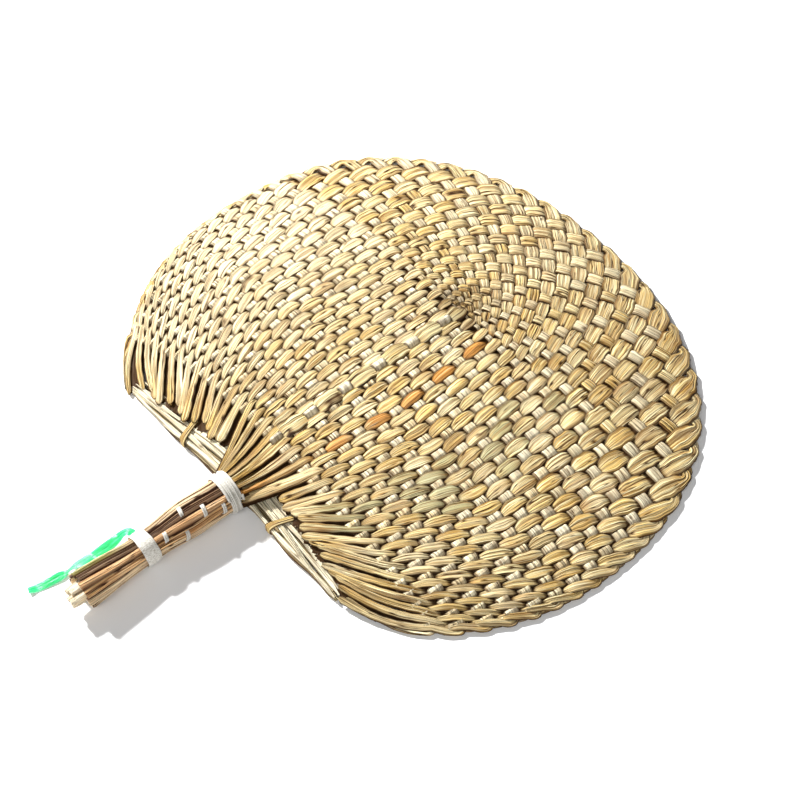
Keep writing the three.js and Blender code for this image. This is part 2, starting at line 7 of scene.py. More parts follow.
import bpy
import numpy as np
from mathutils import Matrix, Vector


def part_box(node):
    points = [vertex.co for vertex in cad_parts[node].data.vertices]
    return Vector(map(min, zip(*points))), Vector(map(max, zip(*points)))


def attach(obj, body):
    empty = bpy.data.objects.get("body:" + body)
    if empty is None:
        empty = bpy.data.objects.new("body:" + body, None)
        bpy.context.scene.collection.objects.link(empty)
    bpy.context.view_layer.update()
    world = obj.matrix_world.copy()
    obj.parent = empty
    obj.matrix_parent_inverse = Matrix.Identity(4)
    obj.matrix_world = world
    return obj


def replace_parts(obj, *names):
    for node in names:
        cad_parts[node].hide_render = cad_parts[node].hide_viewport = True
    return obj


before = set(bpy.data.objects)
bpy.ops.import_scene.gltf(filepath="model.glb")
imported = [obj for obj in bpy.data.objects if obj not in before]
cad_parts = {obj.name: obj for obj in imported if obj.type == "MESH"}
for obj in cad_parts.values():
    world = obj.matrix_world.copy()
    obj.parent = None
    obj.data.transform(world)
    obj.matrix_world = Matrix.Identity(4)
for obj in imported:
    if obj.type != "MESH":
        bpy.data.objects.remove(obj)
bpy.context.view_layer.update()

# %% [markdown]
# ## Where things are
# All sizes below are in millimetres, with the neck of the fan at zero, the crown along +Y and the
# floor at z = 0. Blender works in metres from the middle of the fan, so one shift turns the first
# into the second. The shift is measured on the core of the handle, whose place at the neck is known.

# %% Drawing units and the shift to the fan's own origin
MM = 0.001
HANDLE_X = 6.5
HANDLE_Z = 13.0
SEAT_GAP = 0.3
core_low, core_high = (np.array(corner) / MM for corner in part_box("core_stalks"))
SHIFT = np.array([(core_low[0] + core_high[0]) / 2 - HANDLE_X, core_high[1] + SEAT_GAP, 0.0])
print("shift in mm:", SHIFT.round(3))


def to_world(points):
    """Drawing points in mm become metres in the fan's own frame: (point + shift) / 1000."""
    return (np.asarray(points, dtype=float) + SHIFT) * MM


# %% [markdown]
# ## Camera
# The photograph looks down on the fan from its right, from about eighty centimetres away. A camera
# can be turned by hand, but here it is placed at a point and turned to look at another, which keeps
# the numbers that matter easy to read.

# %% Camera
def aim(thing, place, target):
    """Turns a camera or lamp so that its -Z axis points from place to target, with its top up."""
    thing.location = Vector(place)
    thing.rotation_euler = (Vector(target) - Vector(place)).to_track_quat("-Z", "Y").to_euler()
    bpy.context.scene.collection.objects.link(thing)


CAMERA_AT, LOOKING_AT = [386.9, -195.3, 698.7], [14.1, 117.8, 0.0]
FOCAL_LENGTH, SENSOR_WIDTH = 62.46, 36.0
camera_data = bpy.data.cameras.new("camera")
camera_data.lens, camera_data.sensor_width = FOCAL_LENGTH, SENSOR_WIDTH
camera = bpy.data.objects.new("camera", camera_data)
aim(camera, to_world(CAMERA_AT), to_world(LOOKING_AT))
bpy.context.scene.camera = camera
print("camera at", [round(value, 4) for value in camera.location])

# %% [markdown]
# ## Writing a finish as sums
# A finish is a net of nodes. Drawing it by hand is slow to change, so a small class wraps one output
# and gives it plus, minus and times: an expression on values then adds its own Math nodes.
# Colours go through Mix nodes, because a Math node would turn them grey.

# %% A value that can be added and multiplied
class Value:
    """One output of a node tree. Sums on it add Math nodes to the same tree."""

    def __init__(self, net, output):
        self.net, self.output = net, output

    def math(self, operation, *operands):
        return self.net.add("ShaderNodeMath", {"operation": operation}, dict(enumerate(operands)))

    def __add__(self, other):
        return self.math("ADD", self, other)

    def __sub__(self, other):
        return self.math("SUBTRACT", self, other)

    def __rsub__(self, other):
        return self.math("SUBTRACT", other, self)

    def __mul__(self, other):
        return self.math("MULTIPLY", self, other)

    def clamp(self):
        return self.math("MINIMUM", self.math("MAXIMUM", self, 0.0), 1.0)

    def above(self, level, gain):
        """0 up to a level, then rising by the gain for each 1 above it, up to 1."""
        return ((self - level) * gain).clamp()

    def near(self, level, gain):
        """1 at a level, falling by the gain for each 1 away from it on both sides, down to 0."""
        return (1.0 - self.math("ABSOLUTE", self - level) * gain).clamp()

    __radd__, __rmul__ = __add__, __mul__


# %% A net of nodes, and a finish: one material and its net
class Net:
    """A node tree whose nodes are added in code."""

    def __init__(self, tree):
        self.tree = tree

    def add(self, kind, settings=None, inputs=None, output=0):
        """Adds a node: its settings first, then values or links of its sockets, by name or number."""
        node = self.tree.nodes.new(kind)
        for name, value in (settings or {}).items():
            setattr(node, name, value)
        for name, value in (inputs or {}).items():
            socket = next((s for s in node.inputs if s.identifier == name), None)
            self.plug(socket or node.inputs[name], value)
        found = next((s for s in node.outputs if s.identifier == output), None)
        return Value(self, found or node.outputs[output])

    def plug(self, socket, value):
        if isinstance(value, Value):
            self.tree.links.new(value.output, socket)
        else:
            socket.default_value = value


class Finish(Net):
    """A material whose nodes end in one Principled shader."""

    def __init__(self, name, roughness, specular):
        self.material = bpy.data.materials.new(name)
        self.material.use_nodes = True
        super().__init__(self.material.node_tree)
        self.shader = self.tree.nodes["Principled BSDF"]
        self.shader.inputs["Roughness"].default_value = roughness
        self.shader.inputs["Specular IOR Level"].default_value = specular

    def paint(self, name):
        """A value that was painted on the mesh's points."""
        return self.add("ShaderNodeAttribute", {"attribute_name": name}, output="Fac")

    def along(self, across_scale, along_scale):
        """The piece's own UV, stretched so that a pattern on it turns into streaks."""
        uv = self.add("ShaderNodeUVMap", {"uv_map": "along"})
        scale = (across_scale, along_scale, 1.0)
        return self.add("ShaderNodeMapping", {}, {"Vector": uv, "Scale": scale})

    def noise(self, place, scale=1.0, detail=2.0):
        return self.add("ShaderNodeTexNoise", {}, {"Vector": place, "Scale": scale, "Detail": detail})

    def mix(self, factor, first, second):
        """Blends two colours: first where the factor is 0, second where it is 1."""
        colours = {"Factor_Float": factor, "A_Color": first, "B_Color": second}
        return self.add("ShaderNodeMix", {"data_type": "RGBA"}, colours, output="Result_Color")

    def bump(self, height, distance, strength):
        sockets = {"Height": height, "Distance": distance, "Strength": strength}
        self.plug(self.shader.inputs["Normal"], self.add("ShaderNodeBump", {}, sockets))

    def colour(self, value):
        self.plug(self.shader.inputs["Base Color"], value)
        return self.material


def rgb(red, green, blue):
    """A colour as it is seen on a screen, 0 to 255, becomes the linear one that Blender mixes."""
    seen = np.array([red, green, blue]) / 255
    linear = np.where(seen <= 0.04045, seen / 12.92, ((seen + 0.055) / 1.055) ** 2.4)
    return (*linear.tolist(), 1.0)


print("a straw colour in linear light:", [round(v, 3) for v in rgb(214, 186, 122)])

# %% [markdown]
# ## Dried leaf
# A dried leaf strip is golden straw, paler where it was bleached, with fine dark lines between its
# ribs. Pale cream streaks on it are painted highlight, and painted shade turns it brown and near black
# in its grooves, at its edges and in the deepest gaps. Streaks come from a noise that is stretched
# along the strip by its UV map, and the painted shade of the grooves and edges comes from a value
# painted on the mesh, so both follow every bend.

# %% Leaf finish
BLEACHED, PAINTED_HIGHLIGHT_CREAM, RUST = rgb(255, 247, 220), rgb(255, 247, 212), rgb(228, 142, 34)


def leaf_finish(name, light, golden, brown, shade_colour, green, lines):
    """Straw: light and golden tones in streaks, brown blotches, fine brown lines, pale cream streaks of
    painted highlight, and painted shade, brown then the shade colour, in split lines, grooves, at edges
    and in deep places. The lines value is how strongly the fine lines show."""
    leaf = Finish(name, roughness=0.5, specular=0.12)
    streak = leaf.noise(leaf.along(1.4, 0.03), detail=3.0)
    thread_noise = leaf.noise(leaf.along(1.8, 0.018), detail=1.0)
    split_noise = leaf.noise(leaf.along(1.1, 0.026), detail=0.0)
    blotch = leaf.noise(leaf.add("ShaderNodeTexCoord", output="Object"), scale=42.0)
    # The painted values groove and deep carry painted shade: groove in grooves, split notches and along
    # a strip's edges, deep where a strand dives, round the eye, near the neck, on some stalks, on the
    # lower shoulder strips and on the dark strips behind the legs.
    pale, groove = leaf.paint("pale"), leaf.paint("groove")
    fine, split = thread_noise.near(0.5, 11.0), split_noise.near(0.56, 27.0)
    base = leaf.mix(((streak - 0.5) * 5.0 + leaf.paint("tone")).clamp(), golden, light)
    base = leaf.mix(blotch.above(0.54, 4.0) * 0.5, base, brown)
    base = leaf.mix(pale * 0.85, base, BLEACHED)
    base = leaf.mix(leaf.paint("green") * 0.75, base, green)
    base = leaf.mix(leaf.paint("orange") * (0.4 + 0.75 * streak), base, RUST)
    # Painted highlight: pale cream streaks where the streak noise is low.
    base = leaf.mix(((0.44 - streak) * 8.0).clamp() * 0.5, base, PAINTED_HIGHLIGHT_CREAM)
    base = leaf.mix(fine * (0.8 - 0.5 * pale) * lines, base, brown)
    # Painted shade: split lines, the groove value and the deep value darken the strip towards brown and
    # then towards the shade colour.
    shade = (split * (0.9 - 0.5 * pale) + groove * (0.6 + 1.0 * thread_noise) * (1.0 - 0.35 * pale)
             + leaf.paint("deep"))
    base = leaf.mix((shade * 1.3).clamp() * 0.5, base, brown)
    base = leaf.mix(shade.clamp() * 0.96, base, shade_colour)
    leaf.plug(leaf.shader.inputs["Roughness"], 0.38 + 0.3 * streak)
    leaf.bump(streak - 0.5 * fine - 1.0 * split, 0.0005, 0.9)
    return leaf.colour(base)


STRAW = leaf_finish("straw", light=rgb(255, 243, 192), golden=rgb(240, 204, 122),
                    brown=rgb(146, 94, 28), shade_colour=rgb(46, 22, 2), green=rgb(176, 182, 140), lines=1.0)
STALK = leaf_finish("stalk", light=rgb(255, 228, 182), golden=rgb(242, 186, 122),
                    brown=rgb(136, 70, 28), shade_colour=rgb(46, 16, 2), green=rgb(112, 126, 48), lines=0.5)
print("leaf finishes:", STRAW.name, STALK.name)

# %% [markdown]
# ## Making surfaces
# Every piece is a grid of points: one direction runs along a strand, the other goes round it. numpy
# works out the whole grid at once, and one helper turns grids into a mesh with its UV map and its
# painted values. Several grids may share one mesh, as the stalks of one bunch do.

# %% Grids to meshes
# Of the painted values, groove and deep are painted shade; tone, pale, green and orange are the leaf's
# colour.
PAINTS = ("tone", "pale", "green", "orange", "groove", "deep")
SHARP_EDGE = np.radians(20.0)


def flat_points(values, closed):
    """Flattens a grid. An open grid gets two more points, the middles of its first and last ring."""
    flat = values.reshape(-1, *values.shape[2:])
    return flat if closed else np.concatenate([flat, values[:1].mean(axis=1), values[-1:].mean(axis=1)])


def grid_faces(rows, columns, closed):
    """Quads from each corner (i, j) to (i+1, j), (i+1, j+1) and (i, j+1), and fans at open ends."""
    i, j = np.meshgrid(np.arange(rows if closed else rows - 1), np.arange(columns), indexing="ij")
    ahead, beside = (i + 1) % rows * columns, (j + 1) % columns
    quads = np.stack([i * columns + j, ahead + j, ahead + beside, i * columns + beside], axis=-1)
    faces = quads.reshape(-1, 4).tolist()
    if not closed:
        ring = np.arange(columns)
        after, last, hub = (ring + 1) % columns, (rows - 1) * columns, np.full(columns, rows * columns)
        faces += np.stack([hub, ring, after], axis=-1).tolist()
        faces += np.stack([hub + 1, last + after, last + ring], axis=-1).tolist()
    return faces


def make_piece(name, grids, material, closed=False):
    """Builds one object from grids. Each is a dict: points (rows, columns, 3) in mm, uv (rows,
    columns, 2) in mm, and any painted values: one for the grid, or for each row, or for each point. A
    closed grid's last row meets its first. The piece rides on the fan's one body."""
    points, uvs, faces = [], [], []
    paints = {key: [] for key in PAINTS}
    for grid in grids:
        rows, columns = grid["points"].shape[:2]
        base = sum(len(part) for part in points)
        faces += [[corner + base for corner in face] for face in grid_faces(rows, columns, closed)]
        points.append(flat_points(grid["points"], closed))
        uvs.append(flat_points(grid["uv"], closed))
        for key in PAINTS:
            painted = np.broadcast_to(grid.get(key, 0.0), (rows, columns))
            paints[key].append(flat_points(np.array(painted), closed))
    mesh = bpy.data.meshes.new(name)
    mesh.from_pydata(to_world(np.concatenate(points)).tolist(), [], faces)
    corners = np.empty(len(mesh.loops), dtype=np.int32)
    mesh.loops.foreach_get("vertex_index", corners)
    uv = np.concatenate(uvs)[corners]
    mesh.uv_layers.new(name="along").data.foreach_set("uv", uv.astype(np.float32).ravel())
    for key, values in paints.items():
        painted = np.concatenate(values).astype(np.float32)
        mesh.attributes.new(key, "FLOAT", "POINT").data.foreach_set("value", painted)
    mesh.polygons.foreach_set("use_smooth", np.ones(len(mesh.polygons), dtype=bool))
    mesh.set_sharp_from_angle(angle=SHARP_EDGE)
    mesh.materials.append(material)
    piece = bpy.data.objects.new(name, mesh)
    bpy.context.scene.collection.objects.link(piece)
    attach(piece, "root")
    return piece


def keep_above(grid, height):
    """Lifts the points of a grid that lie lower than a height in mm to that height."""
    grid["points"][..., 2] = np.maximum(grid["points"][..., 2], height)
    return grid


print("painted values on each piece:", PAINTS)

# %% [markdown]
# ## The plait as a net of crossings
# Strands could be drawn one by one, but then they would not meet. Instead every crossing is a knot
# with a name, each strand is a list of knots, and only the outer knots are given places. The free
# ones settle where their four neighbours pull them, as the crossings of a real plait do.

# %% Outline and dish of the blade
HALF_WIDTH, HALF_LENGTH, MIDDLE_Y = 183.0, 163.0, 138.0
ROUNDNESS = 2.2
RIM_HEIGHT, DOME_RISE, DOME_POWER = 2.0, 17.0, 3.0


def rim_reach(x, y, margin=0.0):
    """0 in the middle of the blade and 1 on its outline, or on one that lies outside it by a margin:
    the outline is |x/a|^2.2 + |y/b|^2.2 = 1, with y from the middle of the blade."""
    across = np.abs(x / (HALF_WIDTH + margin)) ** ROUNDNESS
    return (across + np.abs(y / (HALF_LENGTH + margin)) ** ROUNDNESS) ** (1 / ROUNDNESS)


def blade_height(x, y):
    """Rim height plus the rise times 1 - r^3, where r is 0 in the middle and 1 at the rim."""
    return RIM_HEIGHT + DOME_RISE * (1 - np.minimum(1.0, rim_reach(x, y - MIDDLE_Y)) ** DOME_POWER)


def rim_x(y):
    """Half the blade's width at a height y."""
    along = np.abs((y - MIDDLE_Y) / HALF_LENGTH) ** ROUNDNESS
    return HALF_WIDTH * (1 - along) ** (1 / ROUNDNESS)


print("height in the middle:", blade_height(0.0, MIDDLE_Y))
print("half width at y = 60:", round(rim_x(60.0), 1))

# %% Rows of the plait
CROWN, ROWS = 24, 12
LOWEST_ROW, ROW_PITCH = 36.7, 13.1
DROOP = {"left": 18.0, "right": 5.0}
SIGN = {"left": -1.0, "right": 1.0}
SPINE_X, CROWDING, CROWDING_POWER, DROOP_POWER = -3.0, 0.1, 6, 2.5
RELAXED_ROWS = 6


def row_height(row):
    return LOWEST_ROW + (ROWS - row) * ROW_PITCH


def row_reach(row, side):
    """How far a row reaches sideways from the spine to its fold on one side."""
    return SIGN[side] * rim_x(row_height(row) - DROOP[side]) - SPINE_X


def row_place(row, side, share):
    """A place on a row: a share of the way from the spine to the fold, drooping towards the rim."""
    even = (1 + CROWDING) * share - CROWDING * share ** CROWDING_POWER
    return SPINE_X + row_reach(row, side) * even, row_height(row) - DROOP[side] * even ** DROOP_POWER


def legs_on(side, row):
    """How many legs a row meets on one side before its own fold there."""
    return CROWN + row + (1 if side == "left" else 0)


# %% Knots with places
knot_number, place, held, slide, links = {}, [], [], [], []


def knot(key):
    """The number of a knot, which is made in the middle of the blade when it is first named."""
    if key not in knot_number:
        knot_number[key] = len(place)
        place.append([0.0, MIDDLE_Y])
        held.append(False)
        slide.append((0.0, 0.0, 0.0))
        links.append([])
    return knot_number[key]


def pin(key, x, y, on_row=None):
    """Gives a knot its place. On a relaxed row it may still slide sideways along the row."""
    number = knot(key)
    place[number] = [float(x), float(y)]
    held[number] = True
    if on_row and on_row[0] <= RELAXED_ROWS:
        row, side = on_row
        held[number], slide[number] = False, (row_height(row), DROOP[side], row_reach(row, side))


for row in range(1, ROWS + 1):
    for side in ("left", "right"):
        legs = legs_on(side, row)
        for leg in range(1, legs):
            pin(f"{side} {leg} {row}", *row_place(row, side, leg / legs), on_row=(row, side))
        pin(f"{side} fold {row}", *row_place(row, side, 1.0))
    pin(f"right 0 {row}", *row_place(row, "right", 0.0))
print("knots on the rows:", len(place))

# %% Folds over the crown
def crown_folds(count):
    """Points spaced evenly by length along the crown, from the left end of row 1 to its right end."""
    def angle_at(y):
        return np.arcsin(((y - MIDDLE_Y) / HALF_LENGTH) ** (ROUNDNESS / 2))
    start = angle_at(row_height(1) - DROOP["left"])
    end = angle_at(row_height(1) - DROOP["right"])
    angle = np.linspace(np.pi - start, end, 721)
    x = HALF_WIDTH * np.sign(np.cos(angle)) * np.abs(np.cos(angle)) ** (2 / ROUNDNESS)
    y = MIDDLE_Y + HALF_LENGTH * np.sin(angle) ** (2 / ROUNDNESS)
    length = np.concatenate([[0.0], np.cumsum(np.hypot(np.diff(x), np.diff(y)))])
    wanted = length[-1] * np.arange(1, count + 1) / (count + 1)
    return np.interp(wanted, length, x), np.interp(wanted, length, y)


for index, (x, y) in enumerate(zip(*crown_folds(CROWN + 1))):
    pin(f"crown fold {CROWN + 1 - index}", x, y)
print("folds over the crown:", CROWN + 1)

# %% Lower ends of the legs
FREE_LEGS, NECK_TURN, NECK_RADIUS, NECK_Y = 7, np.radians(78), 10.4, -5.0
NECK_FAN, CORNER_X = {"left": 20.0, "right": 25.0}, 100.0
SHOULDER_DEPTH, SHOULDER_HEIGHT, SHOULDER_FLOOR = (21.0, 11.0), (10.0, 4.5), 1.2
SHOULDER_DROP = {"left": 8.0, "right": 0.0}
UNEVEN_ENDS, LAST_ENDS = {"left": 3.2, "right": 2.2}, {"left": 5.0, "right": 3.0}


def shoulder_size(sizes, distance):
    """A shoulder's depth or height at a distance from the middle, from its neck to its corner."""
    return sizes[0] + (sizes[1] - sizes[0]) * distance / CORNER_X


def shoulder_drop(side, distance):
    """The left shoulder slopes down: its lower edge falls 8 mm on the way to its corner."""
    return SHOULDER_DROP[side] * np.abs(distance) / CORNER_X


def leg_overlap(side, leg, count):
    """How far a leg ends inside the shoulder: more or less by chance, and more on the last legs."""
    last = np.clip((leg - count + 7) / 5, 0, 1)
    return 1.0 + UNEVEN_ENDS[side] * (1 + np.sin(2.4 * leg)) + LAST_ENDS[side] * last


for side in ("left", "right"):
    count = legs_on(side, ROWS)
    for leg in range(1, count + 1):
        if leg <= FREE_LEGS:
            turn = NECK_TURN * leg / FREE_LEGS
            pin(f"{side} end {leg}", HANDLE_X + SIGN[side] * NECK_RADIUS * np.sin(turn), NECK_Y)
        else:
            share = (leg - FREE_LEGS) / (count - FREE_LEGS)
            distance = NECK_FAN[side] + (CORNER_X - NECK_FAN[side]) * share
            edge = shoulder_size(SHOULDER_DEPTH, distance) - shoulder_drop(side, distance)
            pin(f"{side} end {leg}", SIGN[side] * distance, edge - leg_overlap(side, leg, count))
pin("spine end", HANDLE_X, NECK_Y)
print("knots so far:", len(place))

# %% Strands as lists of knots
strands = {}


def leg_side(leg, row):
    """A leg lies over a row where the sum of their numbers is odd."""
    return 1 if (leg + row) % 2 else -1


def add_strand(name, steps):
    """Keeps a strand's knots with 1 for over and -1 for under, and links each knot to the next."""
    strands[name] = [(knot(key), side, key) for key, side in steps]
    for (before, _, _), (here, _, _) in zip(strands[name], strands[name][1:]):
        links[before].append(here)
        links[here].append(before)


def leg_steps(side, leg, rows):
    """A leg's crossings with the given rows, in their order."""
    return [(f"{side} {leg} {row}", leg_side(leg, row)) for row in rows]


down, up_again = range(ROWS, 0, -1), range(1, ROWS + 1)
for left in range(1, CROWN + 1):
    right = CROWN + 1 - left
    steps = [(f"left end {left}", 0)] + leg_steps("left", left, down)
    steps += [(f"crown {left} {other}", leg_side(left, other)) for other in range(right)]
    steps += [(f"crown fold {left}", 0)]
    steps += [(f"crown {other} {right}", -leg_side(other, right)) for other in range(left - 1, 0, -1)]
    steps += leg_steps("right", right, up_again) + [(f"right end {right}", 0)]
    add_strand(f"crown_strand_{left:02d}", steps)
print("crown strands:", len(strands))

# %% Strands that run across, and the spine
for row in range(1, ROWS + 1):
    left_leg, right_leg = legs_on("left", row), legs_on("right", row)
    steps = [(f"left end {left_leg}", 0)] + leg_steps("left", left_leg, range(ROWS, row, -1))
    steps += [(f"left fold {row}", 0)]
    steps += [(f"left {leg} {row}", -leg_side(leg, row)) for leg in range(left_leg - 1, 0, -1)]
    steps += [(f"right {leg} {row}", -leg_side(leg, row)) for leg in range(right_leg)]
    steps += [(f"right fold {row}", 0)] + leg_steps("right", right_leg, range(row + 1, ROWS + 1))
    add_strand(f"cross_strand_{row:02d}", steps + [(f"right end {right_leg}", 0)])

spine_leg = CROWN + 1
steps = [("spine end", 0)] + leg_steps("right", 0, down)
steps += [(f"crown {left} 0", -leg_side(left, 0)) for left in range(1, CROWN + 1)]
steps += [(f"crown fold {spine_leg}", 0)] + leg_steps("left", spine_leg, up_again)
add_strand("spine_strand", steps + [(f"left end {spine_leg}", 0)])
print("strands:", len(strands), "knots:", len(place))

# %% Let the free knots settle
SWEEPS, LAST_POWER = 4800, 2.2


def settle(places, sweeps):
    """Moves each free knot a quarter of the way to the mean of its neighbours. A farther one pulls
    harder by its distance to a power that grows to 2.2, which keeps the openings of the net even."""
    free = np.flatnonzero(~np.array(held))
    around = np.array([links[number] for number in free])
    level, droop, reach = np.array(slide)[free].T
    on_row = reach != 0
    for sweep in range(sweeps):
        ramp = np.clip((sweep / sweeps - 0.25) / 0.5, 0, 1)
        power = LAST_POWER * ramp * ramp * (3 - 2 * ramp)
        step = places[around] - places[free][:, None]
        weight = (np.linalg.norm(step, axis=-1, keepdims=True) + 1e-9) ** power
        moved = places[free] + 0.25 * (step * weight).sum(axis=1) / weight.sum(axis=1)
        share = np.clip((moved[on_row, 0] - SPINE_X) / reach[on_row], 0, None)
        moved[on_row, 1] = level[on_row] - droop[on_row] * share ** DROOP_POWER
        places[free] = moved
    return places


knots = settle(np.array(place), SWEEPS)
print("the middle of the crown settles at", knots[knot_number["crown 1 0"]].round(1))

# %% [markdown]
# ## Sweeping a section along a path
# Leaf strips, stalks and threads are all one idea: a lens-shaped section is carried along a path. At
# each step the path gives a point, a direction across and a direction up, and the section is laid out
# in those two. Blender's own curves could bevel a round tube like this, but not a ribbed strip whose
# width and height change on the way.

# %% Section of a ribbed leaf strip
TOP_POINTS, BELOW_POINTS = 13, 5


def leaf_section(grooves, rough=0.0):
    """Places round a section, from -1 to 1 over the top and back below. Height over the top is
    (1 - |u|^3.4)^0.6, less the given depth at the grooved places, plus the given roughness. Below, it
    is 0.8 of that. The shade is dark at both edges and in the grooves."""
    top, below = np.linspace(-1, 1, TOP_POINTS), np.linspace(1, -1, BELOW_POINTS + 2)[1:-1]
    across = np.concatenate([top, below])
    arch = (1 - np.abs(across) ** 3.4) ** 0.6
    groove = np.zeros(len(across))
    groove[list(grooves)] = list(grooves.values())
    height = np.where(np.arange(len(across)) < TOP_POINTS, arch * (1 - groove), -0.8 * arch)
    height[1:TOP_POINTS - 1] += rough
    shade = np.where(groove > 0, 0.12 + groove, 0.0)
    # Painted shade along both edges, where a strip meets the strips beside it.
    shade[[0, TOP_POINTS - 1]] = 1.0
    shade[[1, TOP_POINTS - 2]] += 0.5
    return across, height, shade


def creased(dice, count):
    """A section with a few shallow grooves at chance places, as a single leaf strip has."""
    places = dice.choice(np.arange(2, TOP_POINTS - 2), count, replace=False)
    grooves = {int(place): float(dice.uniform(0.1, 0.32)) for place in places}
    return leaf_section(grooves, dice.uniform(-0.08, 0.08, TOP_POINTS - 2))


def ribbed(count, depth=0.3):
    """A section of strips laid side by side, with an even groove between each two."""
    places = np.linspace(0, TOP_POINTS - 1, count + 1).round().astype(int)[1:-1]
    return leaf_section({int(place): depth for place in places})


def run_length(path):
    """Length along a path from its start to each of its points."""
    return np.concatenate([[0.0], np.cumsum(np.linalg.norm(np.diff(path, axis=0), axis=1))])


def carry(path, across, up, half_width, half_height, section, seed):
    """Point = path + u * half width * across + v * half height * up, for (u, v) on the section. The
    half width is a pair: one for u below 0 and one above."""
    u, v, groove = section
    low, high = np.broadcast_to(half_width, (2, len(path)))
    wide = np.where(u < 0, low[:, None], high[:, None]) * u
    tall = np.broadcast_to(half_height, len(path))[:, None] * v
    points = path[:, None] + wide[..., None] * across[:, None] + tall[..., None] * up[:, None]
    across_uv = (low + high).mean() / 2 * u + seed
    uv = np.stack(np.broadcast_arrays(across_uv, run_length(path)[:, None] + 7.3 * seed), axis=-1)
    # The section's third list, its painted shade, goes into the painted value groove.
    return {"points": points, "uv": uv, "groove": np.broadcast_to(groove, wide.shape)}


print("points round a strip:", len(ribbed(3)[0]))

# %% Directions along a path
def cubic_pieces(points, leave, arrive, steps):
    """A curve through points. Each piece has its own slopes where it leaves one point and arrives at
    the next, and is sampled in even steps."""
    t = (np.arange(steps) / steps)[:, None, None]
    inner = ((2 * t**3 - 3 * t**2 + 1) * points[:-1] + (t**3 - 2 * t**2 + t) * leave
             + (3 * t**2 - 2 * t**3) * points[1:] + (t**3 - t**2) * arrive)
    return np.concatenate([inner.transpose(1, 0, 2).reshape(-1, points.shape[1]), points[-1:]])


def smooth_path(route, steps):
    """A Catmull-Rom curve through the route's points: each piece leaves and arrives along the line
    between its neighbours, halved."""
    route = np.asarray(route, dtype=float)
    slope = np.gradient(route, axis=0)
    return cubic_pieces(route, slope[:-1], slope[1:], steps)


def unit(vectors):
    return vectors / np.linalg.norm(vectors, axis=-1, keepdims=True)


def level_frame(path, twist=0.0):
    """Directions across and up for a path: across is level, and both turn by the twist about it."""
    ahead = unit(np.gradient(path, axis=0))
    across = unit(np.stack([-ahead[:, 1], ahead[:, 0], np.zeros(len(path))], axis=-1))
    up = np.cross(ahead, across)
    turn = np.broadcast_to(twist, len(path))[:, None]
    return np.cos(turn) * across + np.sin(turn) * up, np.cos(turn) * up - np.sin(turn) * across


# %% [markdown]
# ## The hanging tie
# A flat strip of green plastic is held under the white tape and lies loose beside the butt of the
# handle. The strip follows the same points as its plain solid, with a few twists that show its edge.

# %% Hanging tie
def tie_finish():
    """Thin bright green plastic: paler along crinkles and along the edges."""
    strip = Finish("tie_green", roughness=0.3, specular=0.5)
    crinkle = strip.noise(strip.along(1.3, 0.16), detail=3.0)
    base = strip.mix(crinkle.above(0.45, 3.0), rgb(14, 186, 98), rgb(52, 224, 140))
    base = strip.mix(strip.paint("pale"), base, rgb(134, 238, 188))
    strip.plug(strip.shader.inputs["Roughness"], 0.22 + 0.3 * crinkle)
    strip.bump(crinkle, 0.0006, 0.8)
    return strip.colour(base)


TIE_ROUTE = [
    [-5.8, -62.2, 12.2], [-8.0, -63.5, 11.6], [-9.1, -66.2, 9.9], [-9.3, -69.8, 7.6],
    [-9.3, -74.2, 5.0], [-9.9, -79.2, 2.7], [-10.8, -84.8, 1.3], [-11.9, -90.7, 0.8],
    [-12.8, -95.8, 0.6], [-13.5, -101.0, 0.6], [-14.3, -106.2, 0.6], [-15.3, -111.3, 0.6],
    [-16.7, -116.3, 0.6], [-18.1, -121.2, 0.6], [-19.4, -125.4, 0.6],
]
TIE_WIDTH = 5.0
tie_path = smooth_path(TIE_ROUTE, 8)
tie_share = np.linspace(0, 1, len(tie_path))
tie_twist = 0.35 * np.sin(2 * np.pi * 2.1 * tie_share + 0.4) * np.clip(5 * tie_share, 0, 1)
tie_clear = np.sin(np.pi * np.clip(tie_share / 0.85, 0, 1))
tie_lift = np.zeros((len(tie_path), 3))
tie_lift[:, 0] = -2.4 * tie_clear
tie_lift[:, 2] = 0.5 * TIE_WIDTH * np.abs(np.sin(tie_twist)) + 1.6 * tie_clear
tie_path = tie_path + tie_lift
tie_across, tie_up = level_frame(tie_path, tie_twist)
tie_pinch = np.exp(-(((tie_share - 0.64) / 0.05) ** 2))
tie_half = 0.5 * TIE_WIDTH * (1.0 + 0.3 * tie_clear - 0.75 * tie_pinch)
tie_section = ribbed(2, 0.5)
tie_grid = carry(tie_path, tie_across, tie_up, tie_half, 0.3, tie_section, 2.0)
tie_grid["pale"] = np.clip(4 * np.abs(tie_section[0]) - 3.2, 0, 1)
tie = make_piece("hanging_tie_strip", [keep_above(tie_grid, 0.08)], tie_finish())
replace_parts(tie, "hanging_tie")

# %% [markdown]
# ## Strands of the blade
# A strand is a flat leaf strip that runs over one knot and under the next. In plan it is a smooth
# curve through its knots, with a tight turn where it folds over the rim. In height it follows the
# dish of the blade, a little above it or below. It is widest where it lies on top and squeezed where
# it dives, which is what makes each float look like a small pillow.

# %% A strand's course in plan
STEP, FINE_STEPS = 1.4, 12
FOLD_REACH = 7.0


def resample(values, places, wanted):
    """Reads columns of values, known at places along a strand, at the wanted places."""
    return np.stack([np.interp(wanted, places, column) for column in np.transpose(values)], axis=-1)


